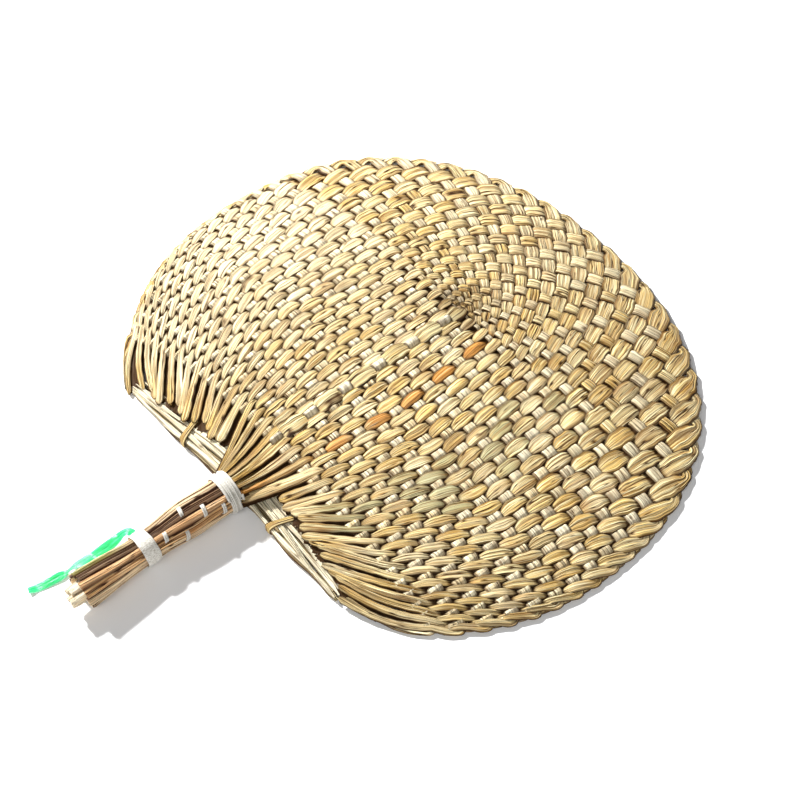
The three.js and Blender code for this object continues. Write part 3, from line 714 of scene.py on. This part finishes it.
def course(points, turns):
    """The line through a strand's knots: smooth pieces that meet in a corner at each turn, sampled
    every 1.4 mm. A corner is then rounded over 7 mm each way by a cubic curve whose two middle points
    stand three quarters of the way to the corner."""
    chord, slope = np.diff(points, axis=0), np.gradient(points, axis=0)
    leave = np.where(turns[:-1, None], chord, slope[:-1])
    arrive = np.where(turns[1:, None], chord, slope[1:])
    fine = cubic_pieces(points, leave, arrive, FINE_STEPS)
    length = run_length(fine)
    wanted = np.linspace(0, length[-1], int(length[-1] / STEP) + 1)
    line = resample(fine, length, wanted)
    for corner in np.flatnonzero(turns[1:-1]) + 1:
        at = length[FINE_STEPS * corner]
        ends = resample(fine, length, np.array([at - FOLD_REACH, at + FOLD_REACH]))
        near = np.abs(wanted - at) < FOLD_REACH
        t = ((wanted[near] - at) / FOLD_REACH / 2 + 0.5)[:, None]
        enter, leave = ends + 0.75 * (points[corner] - ends)
        line[near] = ((1 - t) ** 3 * ends[0] + 3 * t * (1 - t) ** 2 * enter
                      + 3 * t**2 * (1 - t) * leave + t**3 * ends[1])
    return line, np.interp(wanted, length[::FINE_STEPS], np.arange(len(points)))


def eased(values, phase):
    """Goes from knot to knot as a cosine does, steepened by 1.35: flat for a sixth of the way at each
    knot, and steepest half way."""
    start = np.minimum(phase.astype(int), len(values) - 2)
    blend = (1 - np.cos(np.pi * np.clip(1.35 * (phase - start) - 0.175, 0, 1))) / 2
    return values[start] + (values[start + 1] - values[start]) * blend


# %% How much room a strand has at each knot
def pitches(numbers):
    """Distance to the strands beside this one, square to it, at each knot: the share of the step to
    each crossing neighbour that is square to the strand, with the wider side held to 1.3 times the
    narrower. Ends and folds take the room of the knot next to them."""
    room = np.full(len(numbers), np.nan)
    for index in range(1, len(numbers) - 1):
        before, here, after = numbers[index - 1], numbers[index], numbers[index + 1]
        sides = [other for other in links[here] if other not in (before, after)]
        if len(sides) == 2:
            ahead = unit(knots[after] - knots[before])
            square = [abs(float(np.cross(ahead, knots[other] - knots[here]))) for other in sides]
            room[index] = (min(square) + min(max(square), 1.3 * min(square))) / 2
    known = np.flatnonzero(~np.isnan(room))
    nearest = known[np.abs(np.arange(len(room))[:, None] - known).argmin(axis=1)]
    return np.minimum(room[nearest], ROW_PITCH)


sample = pitches([number for number, _, _ in strands["crown_strand_12"]])
print("room along one crown strand, mm:", sample.min().round(1), "to", sample.max().round(1))

# %% Building one strand
OVER_LIFT = 1.25
BOW, FIRST_BOWED, BOWED = {"left": 3.0, "right": 4.5, "spine": 0.0}, 26, 10
BACK_WIDTH, LAST_BACK_WIDTH, LAST_BACKS = 4.6, 2.2, 33
RIM_MARGIN, RIM_SINK, LAP_INSET, FLOOR_GAP = 2.0, 0.9, 2.4, 0.05
dice = np.random.default_rng(7)


def within_rim(points):
    """Draws points that stick out past the rim back to it. With r = 1 on an outline 2 mm outside the
    rim's folds, a point at r > 1 is scaled to 1 + 0.3 (r - 1), so a fold's edge follows the rim."""
    x, y = points[..., 0], points[..., 1] - MIDDLE_Y
    reach = rim_reach(x, y, RIM_MARGIN)
    scale = np.where(reach > 1, (1 + 0.3 * (reach - 1)) / reach, 1.0)
    points[..., 0], points[..., 1] = x * scale, MIDDLE_Y + y * scale


def strip(line, side, half, section, half_height, drop=0.0):
    """A strip on the dish: z = dish + lift * side + section, sunk by 0.9 mm at the rim. Where the line
    turns tighter than the strip is wide, its inner half is narrowed to 0.9 of the turn's radius."""
    path = np.column_stack([line, OVER_LIFT * side - drop])
    path[:, 2] -= RIM_SINK * np.clip(1 - np.abs(blade_height(*line.T) - RIM_HEIGHT) / 1.2, 0, 1)
    across, up = level_frame(np.column_stack([line, np.zeros(len(line))]))
    ahead = unit(np.gradient(line, axis=0))
    bend = np.cross(ahead, np.gradient(ahead, axis=0)) / STEP
    inner = 0.9 / np.maximum(np.abs(bend), 1e-6)
    low = np.where(bend < 0, np.minimum(half, inner), half)
    high = np.where(bend > 0, np.minimum(half, inner), half)
    grid = carry(path, across, up, (low, high), half_height, section, dice.uniform(0, 90))
    within_rim(grid["points"])
    grid["points"][..., 2] += blade_height(grid["points"][..., 0], grid["points"][..., 1])
    return grid


def end_leg(key):
    """The number of the leg that an end knot belongs to. The spine counts as 0."""
    return 0 if key == "spine end" else int(key.split()[-1])


def is_free(key):
    """Says whether an end knot lies on the handle, and not in a shoulder."""
    return end_leg(key) <= FREE_LEGS


def neck_rise(key, rows_away):
    """How far a free leg rises off the dish to lie on the handle: the handle's own height at that
    leg's angle, less the dish, fading out by (1 - t)^2 over the way to the first crossing."""
    angle = NECK_TURN * end_leg(key) / FREE_LEGS
    x = HANDLE_X + NECK_RADIUS * np.sin(angle)
    rise = HANDLE_Z + NECK_RADIUS * np.cos(angle) - blade_height(x, NECK_Y)
    return rise * np.clip(1 - rows_away, 0, 1) ** 2


def painted_shade_sheet(line, phase, room, first, last, number, most):
    """A flat dark strip of painted shade behind a leg, from knot first to knot last, that does not
    weave:
    it stands for the shade between the legs. It is 1.3 times as wide as the leg's room, so that no
    light comes through between legs, half of that at the rim and more at its foot, up to the given half
    width."""
    part = (phase > first) & (phase < last)
    half = 0.65 * np.interp(phase[part], np.arange(len(room)), room)
    foot = phase[part] - first if number else last - phase[part]
    half *= 0.4 + 0.6 * np.clip(foot, 0, 1) + 0.5 * np.clip(1 - np.abs(foot - last + first), 0, 1)
    flat = np.array([-1.0, 0.0, 1.0, 0.0]), np.array([0.0, 1.0, 0.0, -1.0]), np.ones(4)
    sink = 0.35 + 0.3 * number
    grid = strip(line[part], np.zeros(part.sum()), np.minimum(half, most), flat, 0.12, sink)
    # Painted shade: the whole strip takes a strong deep value.
    grid["deep"] = 0.85
    return grid, part


def lap(corner, ahead, section):
    """A short strip along the rim at a fold, from 8 mm before it to 9 mm after it. It follows an
    outline 2.4 mm inside the blade's and rises to lie on the next one."""
    steps = np.linspace(-8.0, 9.0, 14)
    line = corner + steps[:, None] * ahead - [0.0, MIDDLE_Y]
    line /= rim_reach(*line.T, -LAP_INSET)[:, None]
    half = 2.9 * np.clip(np.minimum(steps + 9.0, 10.0 - steps) / 4.0, 0, 1) ** 0.5
    rise = np.linspace(-0.9, 0.7, len(steps))
    grid = strip(line + [0.0, MIDDLE_Y], rise, half, section, 0.8)
    grid["tone"], grid["pale"] = dice.uniform(0.1, 0.9), 0.6 * (dice.uniform() > 0.7)
    return grid


def woven_strip(line, phase, sides, looks, section, swell, early):
    """The strand itself: thicker where it lies over, tapered at both ends, with painted shade where it
    dives, round the eye of the plait and in the neck, where its tone is also lower. It comes up early
    after it passes under: a side s becomes 1 - 2 ((1 - s) / 2)^early. A split opens a notch along its
    middle, with painted shade in it."""
    side = eased(sides + looks.pop("lift", 0.0), phase)
    side = np.where(np.abs(side) < 1, 1 - 2 * ((1 - np.clip(side, -1, 1)) / 2) ** early, side)
    half = eased(looks.pop("width"), phase) / 2
    step = np.arange(len(half))
    half *= 1 + 0.07 * np.sin(step * 0.9 + dice.uniform(0, 6)) * dice.uniform(0.3, 1)
    half *= np.clip(np.minimum(step + 0.4, len(half) - step - 0.6) / 2.5, 0, 1) ** 0.5
    grid = strip(line, side, half, section, 0.75 + swell * np.clip(side, 0, 1))
    tone = eased(dice.uniform(0.1, 0.9, len(sides)), phase)
    neck = np.exp(-np.hypot(line[:, 0] - HANDLE_X, line[:, 1]) / 42)
    painted_eye_shade = 0.4 * np.exp(-(((line - EYE) ** 2).sum(axis=1)) / 15**2)
    # Near the neck the tone is lower. The deep value is painted shade: under the strand where it dives,
    # round the eye of the plait and a little near the neck.
    grid["tone"] = (tone - 0.6 * neck)[:, None]
    grid["deep"] = (2.0 * np.clip(-0.25 - side, 0, 0.45) + painted_eye_shade + 0.12 * neck)[:, None]
    notch = eased(looks.pop("split"), phase)[:, None] * np.clip(1 - 3.4 * np.abs(section[0]), 0, 1)
    notch[:, TOP_POINTS:] = 0
    grid["points"][..., 2] -= 1.5 * notch
    # The notch of a split gets painted shade through the groove value.
    grid["groove"] = np.maximum(grid["groove"], notch)
    for key, values in looks.items():
        grid[key] = eased(np.asarray(values, dtype=float), phase)[:, None]
    return grid


def blade_strand(name, look, section, swell=0.35, early=1.6):
    """Builds one strand: its strip, a lap at each fold and a dark strip of painted shade behind each
    leg.
    The look gives each knot's width and painted values from its key, its side (1 over, -1 under, 0 at a
    fold or end) and the room there."""
    numbers, sides, keys = (list(part) for part in zip(*strands[name]))
    points, sides = knots[numbers], np.array(sides, dtype=float)
    room, last = pitches(numbers), len(keys) - 1
    looks = look(keys, sides, room, points)
    for end, beside in ((0, 1), (last, last - 1)):
        sides[end] = (0.5 if is_free(keys[end]) else 0.9) * sides[beside]
    sides[["fold" in key for key in keys]] = 0.4
    line, phase = course(points, np.array(["fold" in key or "end" in key for key in keys]))
    for end, first in ((0, 0), (last, last - 1)):
        bow = BOW[keys[end].split()[0]] * np.clip((end_leg(keys[end]) - FIRST_BOWED) / BOWED, 0, 1)
        out = unit(points[end] - [0.0, MIDDLE_Y]) * bow
        line += out * np.sin(np.pi * np.clip(phase - first, 0, 1))[:, None]
    grid = woven_strip(line, phase, sides, looks, section, swell, early)
    folds = [index for index, key in enumerate(keys) if "fold" in key]
    grids = [grid]
    grids += [lap(points[fold], unit(points[fold + 1] - points[fold - 1]), section) for fold in folds]
    ends = [(keys[0], 0, folds[0] - 0.6, phase), (keys[-1], folds[-1] + 0.6, last, last - phase)]
    for number, (key, start, stop, rows_away) in enumerate(ends):
        most = LAST_BACK_WIDTH if end_leg(key) > LAST_BACKS else BACK_WIDTH
        # A dark strip of painted shade behind the leg at this end.
        back, near = painted_shade_sheet(line, phase, room, start, stop, number, most)
        if is_free(key):
            rise = neck_rise(key, rows_away)[:, None]
            grid["points"][..., 2] += rise
            back["points"][..., 2] += rise[near] - 0.8
        grids.append(back)
    piece = make_piece(f"{name}_leaf", [keep_above(part, FLOOR_GAP) for part in grids], STRAW)
    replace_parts(piece, name)


# %% Legs and crown strands
EYE = np.array([-3.0, 182.0])
GREEN_LEGS, ORANGE_LEG = (12, 17), 5
BROAD_KNOTS = ("right end 6", "right end 7", "right end 8", "right 6 12", "right 7 12", "left end 8",
               "left end 9")


def leg_numbers(keys, side):
    """The leg of each crossing on one side, or 0 for a knot that is none."""
    words = [key.split() for key in keys]
    return np.array([float(word[1]) if word[0] == side and word[1].isdigit() else 0.0
                     for word in words])


def leg_look(keys, sides, room, points):
    """Legs are broad over a row and narrow under it. Over the crown a strand that runs round the eye
    is broad and golden, and one that runs away from it is narrow and pale. A leg ends broad where it
    comes off an over, and narrow where it comes off an under."""
    crown = np.array([key.startswith("crown") for key in keys])
    away, ahead = unit(points - EYE + 1e-6), unit(np.gradient(points, axis=0))
    round_eye = (away[:, 0] * ahead[:, 1] - away[:, 1] * ahead[:, 0]) ** 2
    over = np.where(crown, 0.62 + 0.68 * round_eye, 1.36)
    under = np.where(crown, 0.55 + 0.5 * round_eye, 0.72)
    share = under + (over - under) * (sides + 1) / 2
    chance = dice.uniform(0, 1, (3, len(keys)))
    width = np.maximum(room * share * (0.93 + 0.14 * chance[0]), np.where(sides > 0, 4.2, 2.6))
    for end, beside in ((0, 1), (-1, -2)):
        if is_free(keys[end]):
            width[end] = 3.4
        else:
            width[end] = np.clip(1.8 * room[end], 4.0, 7.0) if sides[beside] > 0 else 2.4
    width = np.where(["fold" in key for key in keys], np.clip(0.7 * room, 3.6, 6.6), width)
    split = np.where(crown, 0.25 * np.clip((room - 6.0) / 2.0, 0, 1) * round_eye ** 0.5, 0.0)
    pale = np.where(crown, 0.75 * (1 - round_eye) * (chance[1] > 0.2), 0.3 * (chance[1] > 0.75))
    left, right = leg_numbers(keys, "left"), leg_numbers(keys, "right")
    pale = np.maximum(pale, np.where(left > 0, 0.1 + 0.45 * np.clip((left - 6) / 16, 0, 1), 0.0))
    green = 0.9 * ((right >= GREEN_LEGS[0]) & (right <= GREEN_LEGS[1])) * (chance[2] > 0.5)
    orange = 0.95 * (right == ORANGE_LEG) * (chance[2] > 0.2)
    orange = np.where([key == f"right end {ORANGE_LEG}" for key in keys], 1.0, orange)
    broad = np.array([key in BROAD_KNOTS for key in keys])
    width, pale = np.where(broad, np.maximum(width, 7.5), width), np.where(broad, 0.35, pale)
    return {"width": width, "split": split, "pale": pale, "green": green, "orange": orange}


for number in range(1, CROWN + 1):
    blade_strand(f"crown_strand_{number:02d}", leg_look, creased(dice, 2 + number % 3))
print("crown strands done")

# %% Cross strands
SPINE_WRAP = {"width": 9.0, "pale": 1.15, "lift": 2.1}


def cross_look(keys, sides, room, points):
    """A cross strand is bleached and narrow while it runs along its row, and a leg after its folds.
    Where it lies over the spine it is broad and nearly white."""
    looks = leg_look(keys, sides, room, points)
    folds = [index for index, key in enumerate(keys) if "fold" in key]
    along = np.zeros(len(keys), dtype=bool)
    along[folds[0] + 1:folds[1]] = True
    looks["width"] = np.where(along, dice.uniform(0.58, 0.7, len(keys)) * room, looks["width"])
    looks["pale"] = np.where(along, dice.uniform(0.5, 0.95, len(keys)), looks["pale"])
    for key in ("green", "orange", "split"):
        looks[key] = np.where(along, 0.0, looks[key])
    on_spine = np.array([key.startswith("right 0 ") for key in keys]) & (sides > 0)
    looks["lift"] = np.zeros(len(keys))
    for key, value in SPINE_WRAP.items():
        looks[key][on_spine] = value
    return looks


for number in range(1, ROWS + 1):
    blade_strand(f"cross_strand_{number:02d}", cross_look, creased(dice, 3), early=1.0)
print("cross strands done")

# %% Spine
def spine_look(keys, sides, room, points):
    """The spine is one broad midrib, pale olive, and narrows to a leg after its fold."""
    looks = leg_look(keys, sides, room, points)
    straight = np.char.startswith(keys, "right") | (np.array(keys) == "spine end")
    looks["width"] = np.where(straight, np.where(sides > 0, 12.0, 11.0), looks["width"])
    looks["lift"] = np.where(straight & (sides < 0), 1.4, np.where(straight, 0.7, 0.0))
    looks["width"][0] = 4.5
    looks["green"] = np.where(straight, 0.5, 0.0)
    looks["pale"] = np.where(straight, 0.1, looks["pale"])
    return looks


blade_strand("spine_strand", spine_look, ribbed(3, 0.2), swell=0.6, early=1.0)
print("spine done")

# %% [markdown]
# ## Shoulders
# The lower ends of the legs are turned under and bound into a straight bundle on each side of the
# neck. Each solid bar of the frame stands for a few strands of it, so each bar becomes one broad
# strand with two narrow ones on it, and a slow wave keeps them from looking machined.

# %% Shoulder strands
BARS = 3


def shoulder_bar(side, index):
    """Three strips in the place of one bar, a broad one below and two narrow ones above. Their y and z
    follow the bar's own slope towards the corner."""
    grids = []
    for layer, lane in ((0, 0), (1, 0), (1, 1)):
        lanes = layer + 1
        reach = CORNER_X - dice.uniform(3.0, 8.0)
        distance = np.linspace(0.3, reach, 60)
        depth = shoulder_size(SHOULDER_DEPTH, distance) / BARS
        tall = shoulder_size(SHOULDER_HEIGHT, distance)
        wave = np.sin(distance / dice.uniform(9, 14) + dice.uniform(0, 6.28))
        slant = dice.uniform(-3.0, 3.0) * layer * (distance / CORNER_X - 0.5)
        y = (index + (lane + 0.5) / lanes) * depth + 0.3 + wave * 0.7 + slant
        y -= shoulder_drop(side, distance)
        z = SHOULDER_FLOOR + tall * (0.27 + 0.4 * layer + 0.13 * lane) + 0.25 * wave + 0.15 * slant
        path = np.column_stack([SIGN[side] * distance, y, z])
        across, up = level_frame(path, 0.15 * wave)
        close = np.clip((reach - distance) / 7.0, 0.3, 1.0) ** 0.6
        half = depth / lanes / 2 * close * (1.15 + 0.25 * np.sin(distance / 7.0 + 2.0 * index + lane))
        grid = carry(path, across, up, half, tall * 0.2 * close, creased(dice, 3), dice.uniform(0, 90))
        tones = dice.uniform(0, 1, 9)
        grid["tone"] = 0.9 + 0.7 * np.interp(distance, np.linspace(0, CORNER_X, 9), tones)[:, None]
        # The upper strips are bleached, and the lower one takes a little painted shade under them.
        grid["pale"], grid["deep"] = dice.uniform(0.8, 1.1) * layer, 0.2 * (1 - layer)
        grids.append(keep_above(grid, FLOOR_GAP))
    return grids


for side in ("left", "right"):
    for index in range(BARS):
        name = f"{side}_shoulder_strand_{index + 1}"
        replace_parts(make_piece(f"{name}_leaf", shoulder_bar(side, index), STRAW), name)
print("shoulder strands done")

# %% Shoulder wraps
WRAP_X = {"left": 46.0, "right": 41.0}
WRAP_WIDTH, WRAP_THICKNESS, WRAP_POINTS = 6.0, 0.9, 72


def shoulder_wrap(side):
    """One strip taken round the shoulder: |y/a|^3.5 + |z/b|^3.5 = 1 about the shoulder's middle."""
    distance = WRAP_X[side]
    deep = shoulder_size(SHOULDER_DEPTH, distance) + 0.6
    tall = shoulder_size(SHOULDER_HEIGHT, distance) + 0.6
    angle = np.linspace(0, 2 * np.pi, WRAP_POINTS, endpoint=False)
    curve = [np.sign(f(angle)) * np.abs(f(angle)) ** (2 / 3.5) for f in (np.cos, np.sin)]
    middle = SHOULDER_FLOOR + (tall - 0.6) / 2
    y = deep / 2 + (deep / 2 + WRAP_THICKNESS / 2) * curve[0]
    z = middle + (tall / 2 + WRAP_THICKNESS / 2) * curve[1]
    x = SIGN[side] * (distance + 3.4 * curve[0])
    path = np.column_stack([x, y - shoulder_drop(side, x), z])
    ahead = unit(np.roll(path, -1, axis=0) - np.roll(path, 1, axis=0))
    across = np.tile([1.0, 0.0, 0.0], (WRAP_POINTS, 1))
    up = unit(np.cross(ahead, across))
    if (up * (path - path.mean(axis=0))).sum() < 0:
        across, up = -across, -up
    half = 0.4 * WRAP_WIDTH * (1 + 0.12 * np.sin(3 * angle))
    grid = carry(path, across, up, half, 0.75, ribbed(3), 5.0)
    grid["tone"], grid["green"] = -0.1, 0.3
    return keep_above(grid, 0.02)


for side in ("left", "right"):
    wrap = make_piece(f"{side}_shoulder_wrap_leaf", [shoulder_wrap(side)], STRAW, closed=True)
    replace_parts(wrap, f"{side}_shoulder_wrap")
print("wraps done")

# %% [markdown]
# ## Handle
# The handle is a bundle of leaf stalks round a core of thinner ones. Every sector of the frame's
# handle becomes two stalks, each a ribbed strip that bulges outwards, thick in the grip and drawn in
# under the two bindings. The stalks lean a little round the handle, as a bundle twists when it is
# bound, and they end at slightly different lengths.

# %% Outer stalks
GRIP_LENGTH, CORE_LENGTH = 106.0, 113.0
STALK_ROWS, STALK_LEAN = 70, 0.5
GRIP_PROFILE = ([-106.0, -71.5, -53.5, -34.25, -15.6, 0.0], [11.9, 9.3, 9.3, 11.8, 11.2, 11.2])


def grip_radius(y):
    """Radius of the bundle along the handle, rounded between the places of the profile."""
    return sum(np.interp(y + shift, *GRIP_PROFILE) for shift in (-4.0, -2.0, 0.0, 2.0, 4.0)) / 5


def around(angle, radius, y):
    """Points round the handle: x = middle + r sin, z = middle + r cos."""
    return np.stack([HANDLE_X + radius * np.sin(angle), y, HANDLE_Z + radius * np.cos(angle)], axis=-1)


def outwards(angle):
    """Directions square to the handle at an angle round it."""
    return np.stack([np.sin(angle), np.zeros(len(angle)), np.cos(angle)], axis=-1)


def stalk(angle, length, half, thick, seed):
    """A strip at an angle round the handle: the angle grows by the lean, and the radius is the
    bundle's own less half of the strip's thickness."""
    y = -np.linspace(3.5, length, STALK_ROWS)
    turn = angle + STALK_LEAN * (y / GRIP_LENGTH) + 0.03 * np.sin(y / 11.0 + seed)
    radius = grip_radius(y) - thick * 0.55
    path = around(turn, radius, y)
    across = np.stack([np.cos(turn), np.zeros(STALK_ROWS), -np.sin(turn)], axis=-1)
    up = outwards(turn)
    wide = half * grip_radius(y) / 11.8
    tall = thick / 2 * (1 + 0.1 * np.sin(y / 7.0 + seed))
    section = creased(dice, 2)
    grid = carry(path, across, up, wide, tall, section, seed)
    bow = section[0] * (wide / radius)[:, None]
    inwards = radius[:, None] * (1 - np.sqrt(np.maximum(0.05, 1 - bow**2)))
    grid["points"] -= inwards[..., None] * up[:, None]
    return keep_above(grid, 0.03)


GREEN_STALK, REDDISH_STALKS = 11, (1, 8)
for sector in range(6):
    grids = []
    for number in (2 * sector, 2 * sector + 1):
        angle = 2 * np.pi * (number + 0.5) / 12
        grid = stalk(angle + dice.uniform(-0.06, 0.06), GRIP_LENGTH - dice.uniform(0, 3.0),
                     dice.uniform(2.5, 3.5), dice.uniform(3.8, 4.6), dice.uniform(0, 60))
        # Half the stalks get painted shade, strong on about one in four, for the shade between stalks.
        grid["tone"], grid["deep"] = dice.uniform(0.0, 1.6), dice.choice([0.0, 0.0, 0.15, 0.75])
        grid["pale"] = 0.15 * (number % 2)
        towards_butt = np.clip(np.linspace(-3.0, 2.2, STALK_ROWS), 0, 1.2)[:, None]
        grid["green"] = towards_butt * (number == GREEN_STALK)
        grid["orange"] = 0.2 if number in REDDISH_STALKS else 0.0
        grids.append(grid)
    name = f"grip_stalks_{sector + 1}"
    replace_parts(make_piece(f"{name}_leaf", grids, STALK), name)
print("outer stalks done")

# %% Core stalks
def core_stalk(place_x, place_z, radius, length, seed):
    """A thin round stalk along the handle: a ring of 14 points, drawn in a little at its butt end."""
    y = -np.linspace(0.35, length, 30)
    angle = np.linspace(0, 2 * np.pi, 14, endpoint=False)
    size = radius * (1 - 0.25 * np.exp(-(length + y) / 0.5))[:, None]
    x = HANDLE_X + place_x + size * np.sin(angle) * (1 + 0.05 * np.sin(3 * angle))
    z = HANDLE_Z + place_z + size * np.cos(angle)
    points = np.stack([x, np.broadcast_to(y[:, None], x.shape), z], axis=-1)
    uv = np.stack(np.broadcast_arrays(angle * radius + seed, -y[:, None]), axis=-1)
    return {"points": points, "uv": uv, "tone": 1.0, "pale": 0.8}


grids = [core_stalk(0, 0, 2.1, CORE_LENGTH, 3.0)]
for index in range(6):
    turn, length = np.pi * index / 3, CORE_LENGTH - dice.uniform(0, 3)
    grids.append(core_stalk(4.2 * np.sin(turn), 4.2 * np.cos(turn), 2.05, length, 9.0 * index))
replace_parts(make_piece("core_stalks_round", grids, STALK), "core_stalks")
print("core done")

# %% [markdown]
# ## Thread and tape
# Cotton thread binds the neck in close turns, and the same thread, doubled, runs down the handle in
# one long spiral that dips between the stalks. Flat white tape holds the handle near its butt. A
# thread is the same sweep as a leaf, with a round section.

# %% Thread and tape finishes
def cloth_finish(name, light, shade, across_scale, along_scale, height):
    """Cotton: fine fibres that follow the UV, with soft grey-brown marks of handling."""
    cloth = Finish(name, roughness=0.85, specular=0.2)
    fibre = cloth.noise(cloth.along(across_scale, along_scale), detail=3.0)
    marks = cloth.noise(cloth.add("ShaderNodeTexCoord", output="Object"), scale=160.0)
    base = cloth.mix(fibre.above(0.36, 5.0), shade, light)
    base = cloth.mix(marks.above(0.55, 2.0) * 0.5, base, shade)
    cloth.bump(fibre, height, 0.8)
    return cloth.colour(base)


THREAD = cloth_finish("thread_cotton", rgb(222, 220, 213), rgb(168, 160, 146), 9.0, 1.4, 0.0003)
TAPE = cloth_finish("tape_cotton", rgb(222, 219, 211), rgb(172, 165, 151), 0.6, 2.6, 0.0002)


def round_section(count):
    angle = np.linspace(0, 2 * np.pi, count, endpoint=False)
    return np.sin(angle), np.cos(angle), np.zeros(count)


# %% A thread round the handle
def thread(y, angle, radius, thick, seed):
    """A round thread at an angle and a radius along the handle. Across is square to the thread and
    to the radius, so the section stays round however steep the thread runs."""
    path = around(angle, radius, y)
    up = outwards(angle)
    across = unit(np.cross(up, unit(np.gradient(path, axis=0))))
    return carry(path, across, up, thick, thick, round_section(8), seed)


# %% Spiral stitch
STITCH_Y = [-11.1, -14.5, -25.25, -36.5, -40.25, -51.25, -57.7]
STITCH_TURN = [-29, 68, 395, 717, 798, 1119, 1303]
SHOWN = np.array([68, 232, 395, 556, 717, 798, 958, 1119, 1240])
STITCH_POINTS, THREAD_RADIUS, THREAD_OFFSET = 560, 0.62, 0.6


def spiral(offset):
    """One of two threads side by side down the handle. Its radius is the bundle's plus 0.6 mm where a
    stitch shows, and d degrees away from there it sinks between the stalks by
    3.4 (1 - exp(-(d / 21)^4))."""
    turn = np.linspace(STITCH_TURN[0], STITCH_TURN[-1], STITCH_POINTS)
    y = np.interp(turn, STITCH_TURN, STITCH_Y)
    away = np.abs(turn[:, None] - SHOWN).min(axis=1)
    radius = grip_radius(y) + 0.6 - 3.4 * (1 - np.exp(-((away / 21) ** 4)))
    grid = thread(y + offset, np.radians(turn), radius, THREAD_RADIUS, 9.0 + offset)
    return keep_above(grid, 0.02)


grids = [spiral(-THREAD_OFFSET), spiral(THREAD_OFFSET)]
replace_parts(make_piece("spiral_stitch_thread", grids, THREAD), "spiral_stitch")
print("places where the stitch shows:", len(SHOWN))

# %% Neck binding
grids = []
for layer, (start, end, count) in enumerate([(-1.6, -10.4, 9), (-10.2, -2.0, 3)]):
    share = np.linspace(0, 1, 60 * count)
    y = start + (end - start) * share
    angle = 2 * np.pi * count * share * (1 - 2 * layer) + 1.0
    radius = 11.2 + 0.65 + 0.75 * layer + 0.05 * np.sin(angle * 2.3)
    grids.append(keep_above(thread(y, angle, radius, THREAD_RADIUS, 3.0 * layer), 0.0))
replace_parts(make_piece("neck_binding_thread", grids, THREAD), "neck_binding")
print("neck binding done")

# %% Grip binding
TAPE_Y, TAPE_WIDTH, TAPE_POINTS = -62.5, 9.0, 120


def tape_band():
    """A flat tape round the handle: its radius is the bundle's plus its thickness, with low waves,
    and its edges wander a little."""
    angle = np.linspace(0, 2 * np.pi, TAPE_POINTS, endpoint=False)
    y = TAPE_Y + 0.35 * np.sin(angle + 0.6)
    radius = grip_radius(y) + 0.75 + 0.12 * np.sin(5 * angle)
    path = around(angle, radius, y)
    up = outwards(angle)
    across = np.tile([0.0, 1.0, 0.0], (TAPE_POINTS, 1))
    ahead = unit(np.roll(path, -1, axis=0) - np.roll(path, 1, axis=0))
    if (np.cross(ahead, across) * up).sum() < 0:
        across = -across
    wide = TAPE_WIDTH / 2 * (1 + 0.04 * np.sin(2 * angle) + 0.02 * np.sin(7 * angle))
    return carry(path, across, up, wide, 0.5, ribbed(4, 0.2), 1.0)


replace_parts(make_piece("grip_binding_tape", [tape_band()], TAPE, closed=True), "grip_binding")
print("grip binding done")

# %% [markdown]
# ## Floor and light
# The floor is a large pale sheet that takes the fan's shadow. Far from the fan, where the lamps no
# longer reach, it turns white for the rays that come from the camera or off a glossy surface, and so
# does the sky. That keeps the background white from every side and hardly changes the light on the
# fan. One small key lamp draws the crisp shadows between the strands from the photograph's side, and a
# large soft one fills them.

# %% Floor
FLOOR_HALF_WIDTH, GLOW_START, GLOW_GAIN = 4, 0.45, 2.0


def background_rays(net):
    """1 for rays that come straight from the camera, off gloss or through glass, else 0."""
    names = "Is Camera Ray", "Is Glossy Ray", "Is Transmission Ray"
    camera_ray, glossy, through = (net.add("ShaderNodeLightPath", output=name) for name in names)
    return (camera_ray + glossy + through).clamp()


floor_mesh = bpy.data.meshes.new("floor")
reach = FLOOR_HALF_WIDTH
corners = [(-reach, -reach, 0), (reach, -reach, 0), (reach, reach, 0), (-reach, reach, 0)]
floor_mesh.from_pydata(corners, [], [(0, 1, 2, 3)])
floor = bpy.data.objects.new("floor", floor_mesh)
bpy.context.scene.collection.objects.link(floor)
floor_finish = Finish("floor_white", roughness=0.9, specular=0.0)
away = floor_finish.add("ShaderNodeVectorMath", {"operation": "LENGTH"},
                        {0: floor_finish.add("ShaderNodeTexCoord", output="Object")}, output="Value")
far_glow = away.above(GLOW_START, GLOW_GAIN) * background_rays(floor_finish)
glow = floor_finish.mix(far_glow, rgb(0, 0, 0), rgb(255, 255, 255))
floor_finish.plug(floor_finish.shader.inputs["Emission Color"], glow)
floor_finish.plug(floor_finish.shader.inputs["Emission Strength"], 1.0)
floor_mesh.materials.append(floor_finish.colour(rgb(250, 250, 250)))

# %% Light
def lamp(name, place, target, size, power):
    data = bpy.data.lights.new(name, "AREA")
    data.shape, data.size, data.energy = "DISK", size, power
    aim(bpy.data.objects.new(name, data), place, target)


SKY_LIGHT = 0.18
lamp("key", (-1.0, -0.25, 0.9), (0.0, 0.0, 0.0), size=0.12, power=47.0)
lamp("fill", (0.7, -1.0, 1.3), (0.0, 0.0, 0.0), size=1.2, power=13.0)
world = bpy.data.worlds.new("sky")
bpy.context.scene.world = world
world.use_nodes = True
sky = Net(world.node_tree)
background = sky.tree.nodes["Background"]
background.inputs["Color"].default_value = (1.0, 1.0, 1.0, 1.0)
sky.plug(background.inputs["Strength"], (1 - SKY_LIGHT) * background_rays(sky) + SKY_LIGHT)
bpy.context.scene.view_settings.view_transform = "Standard"
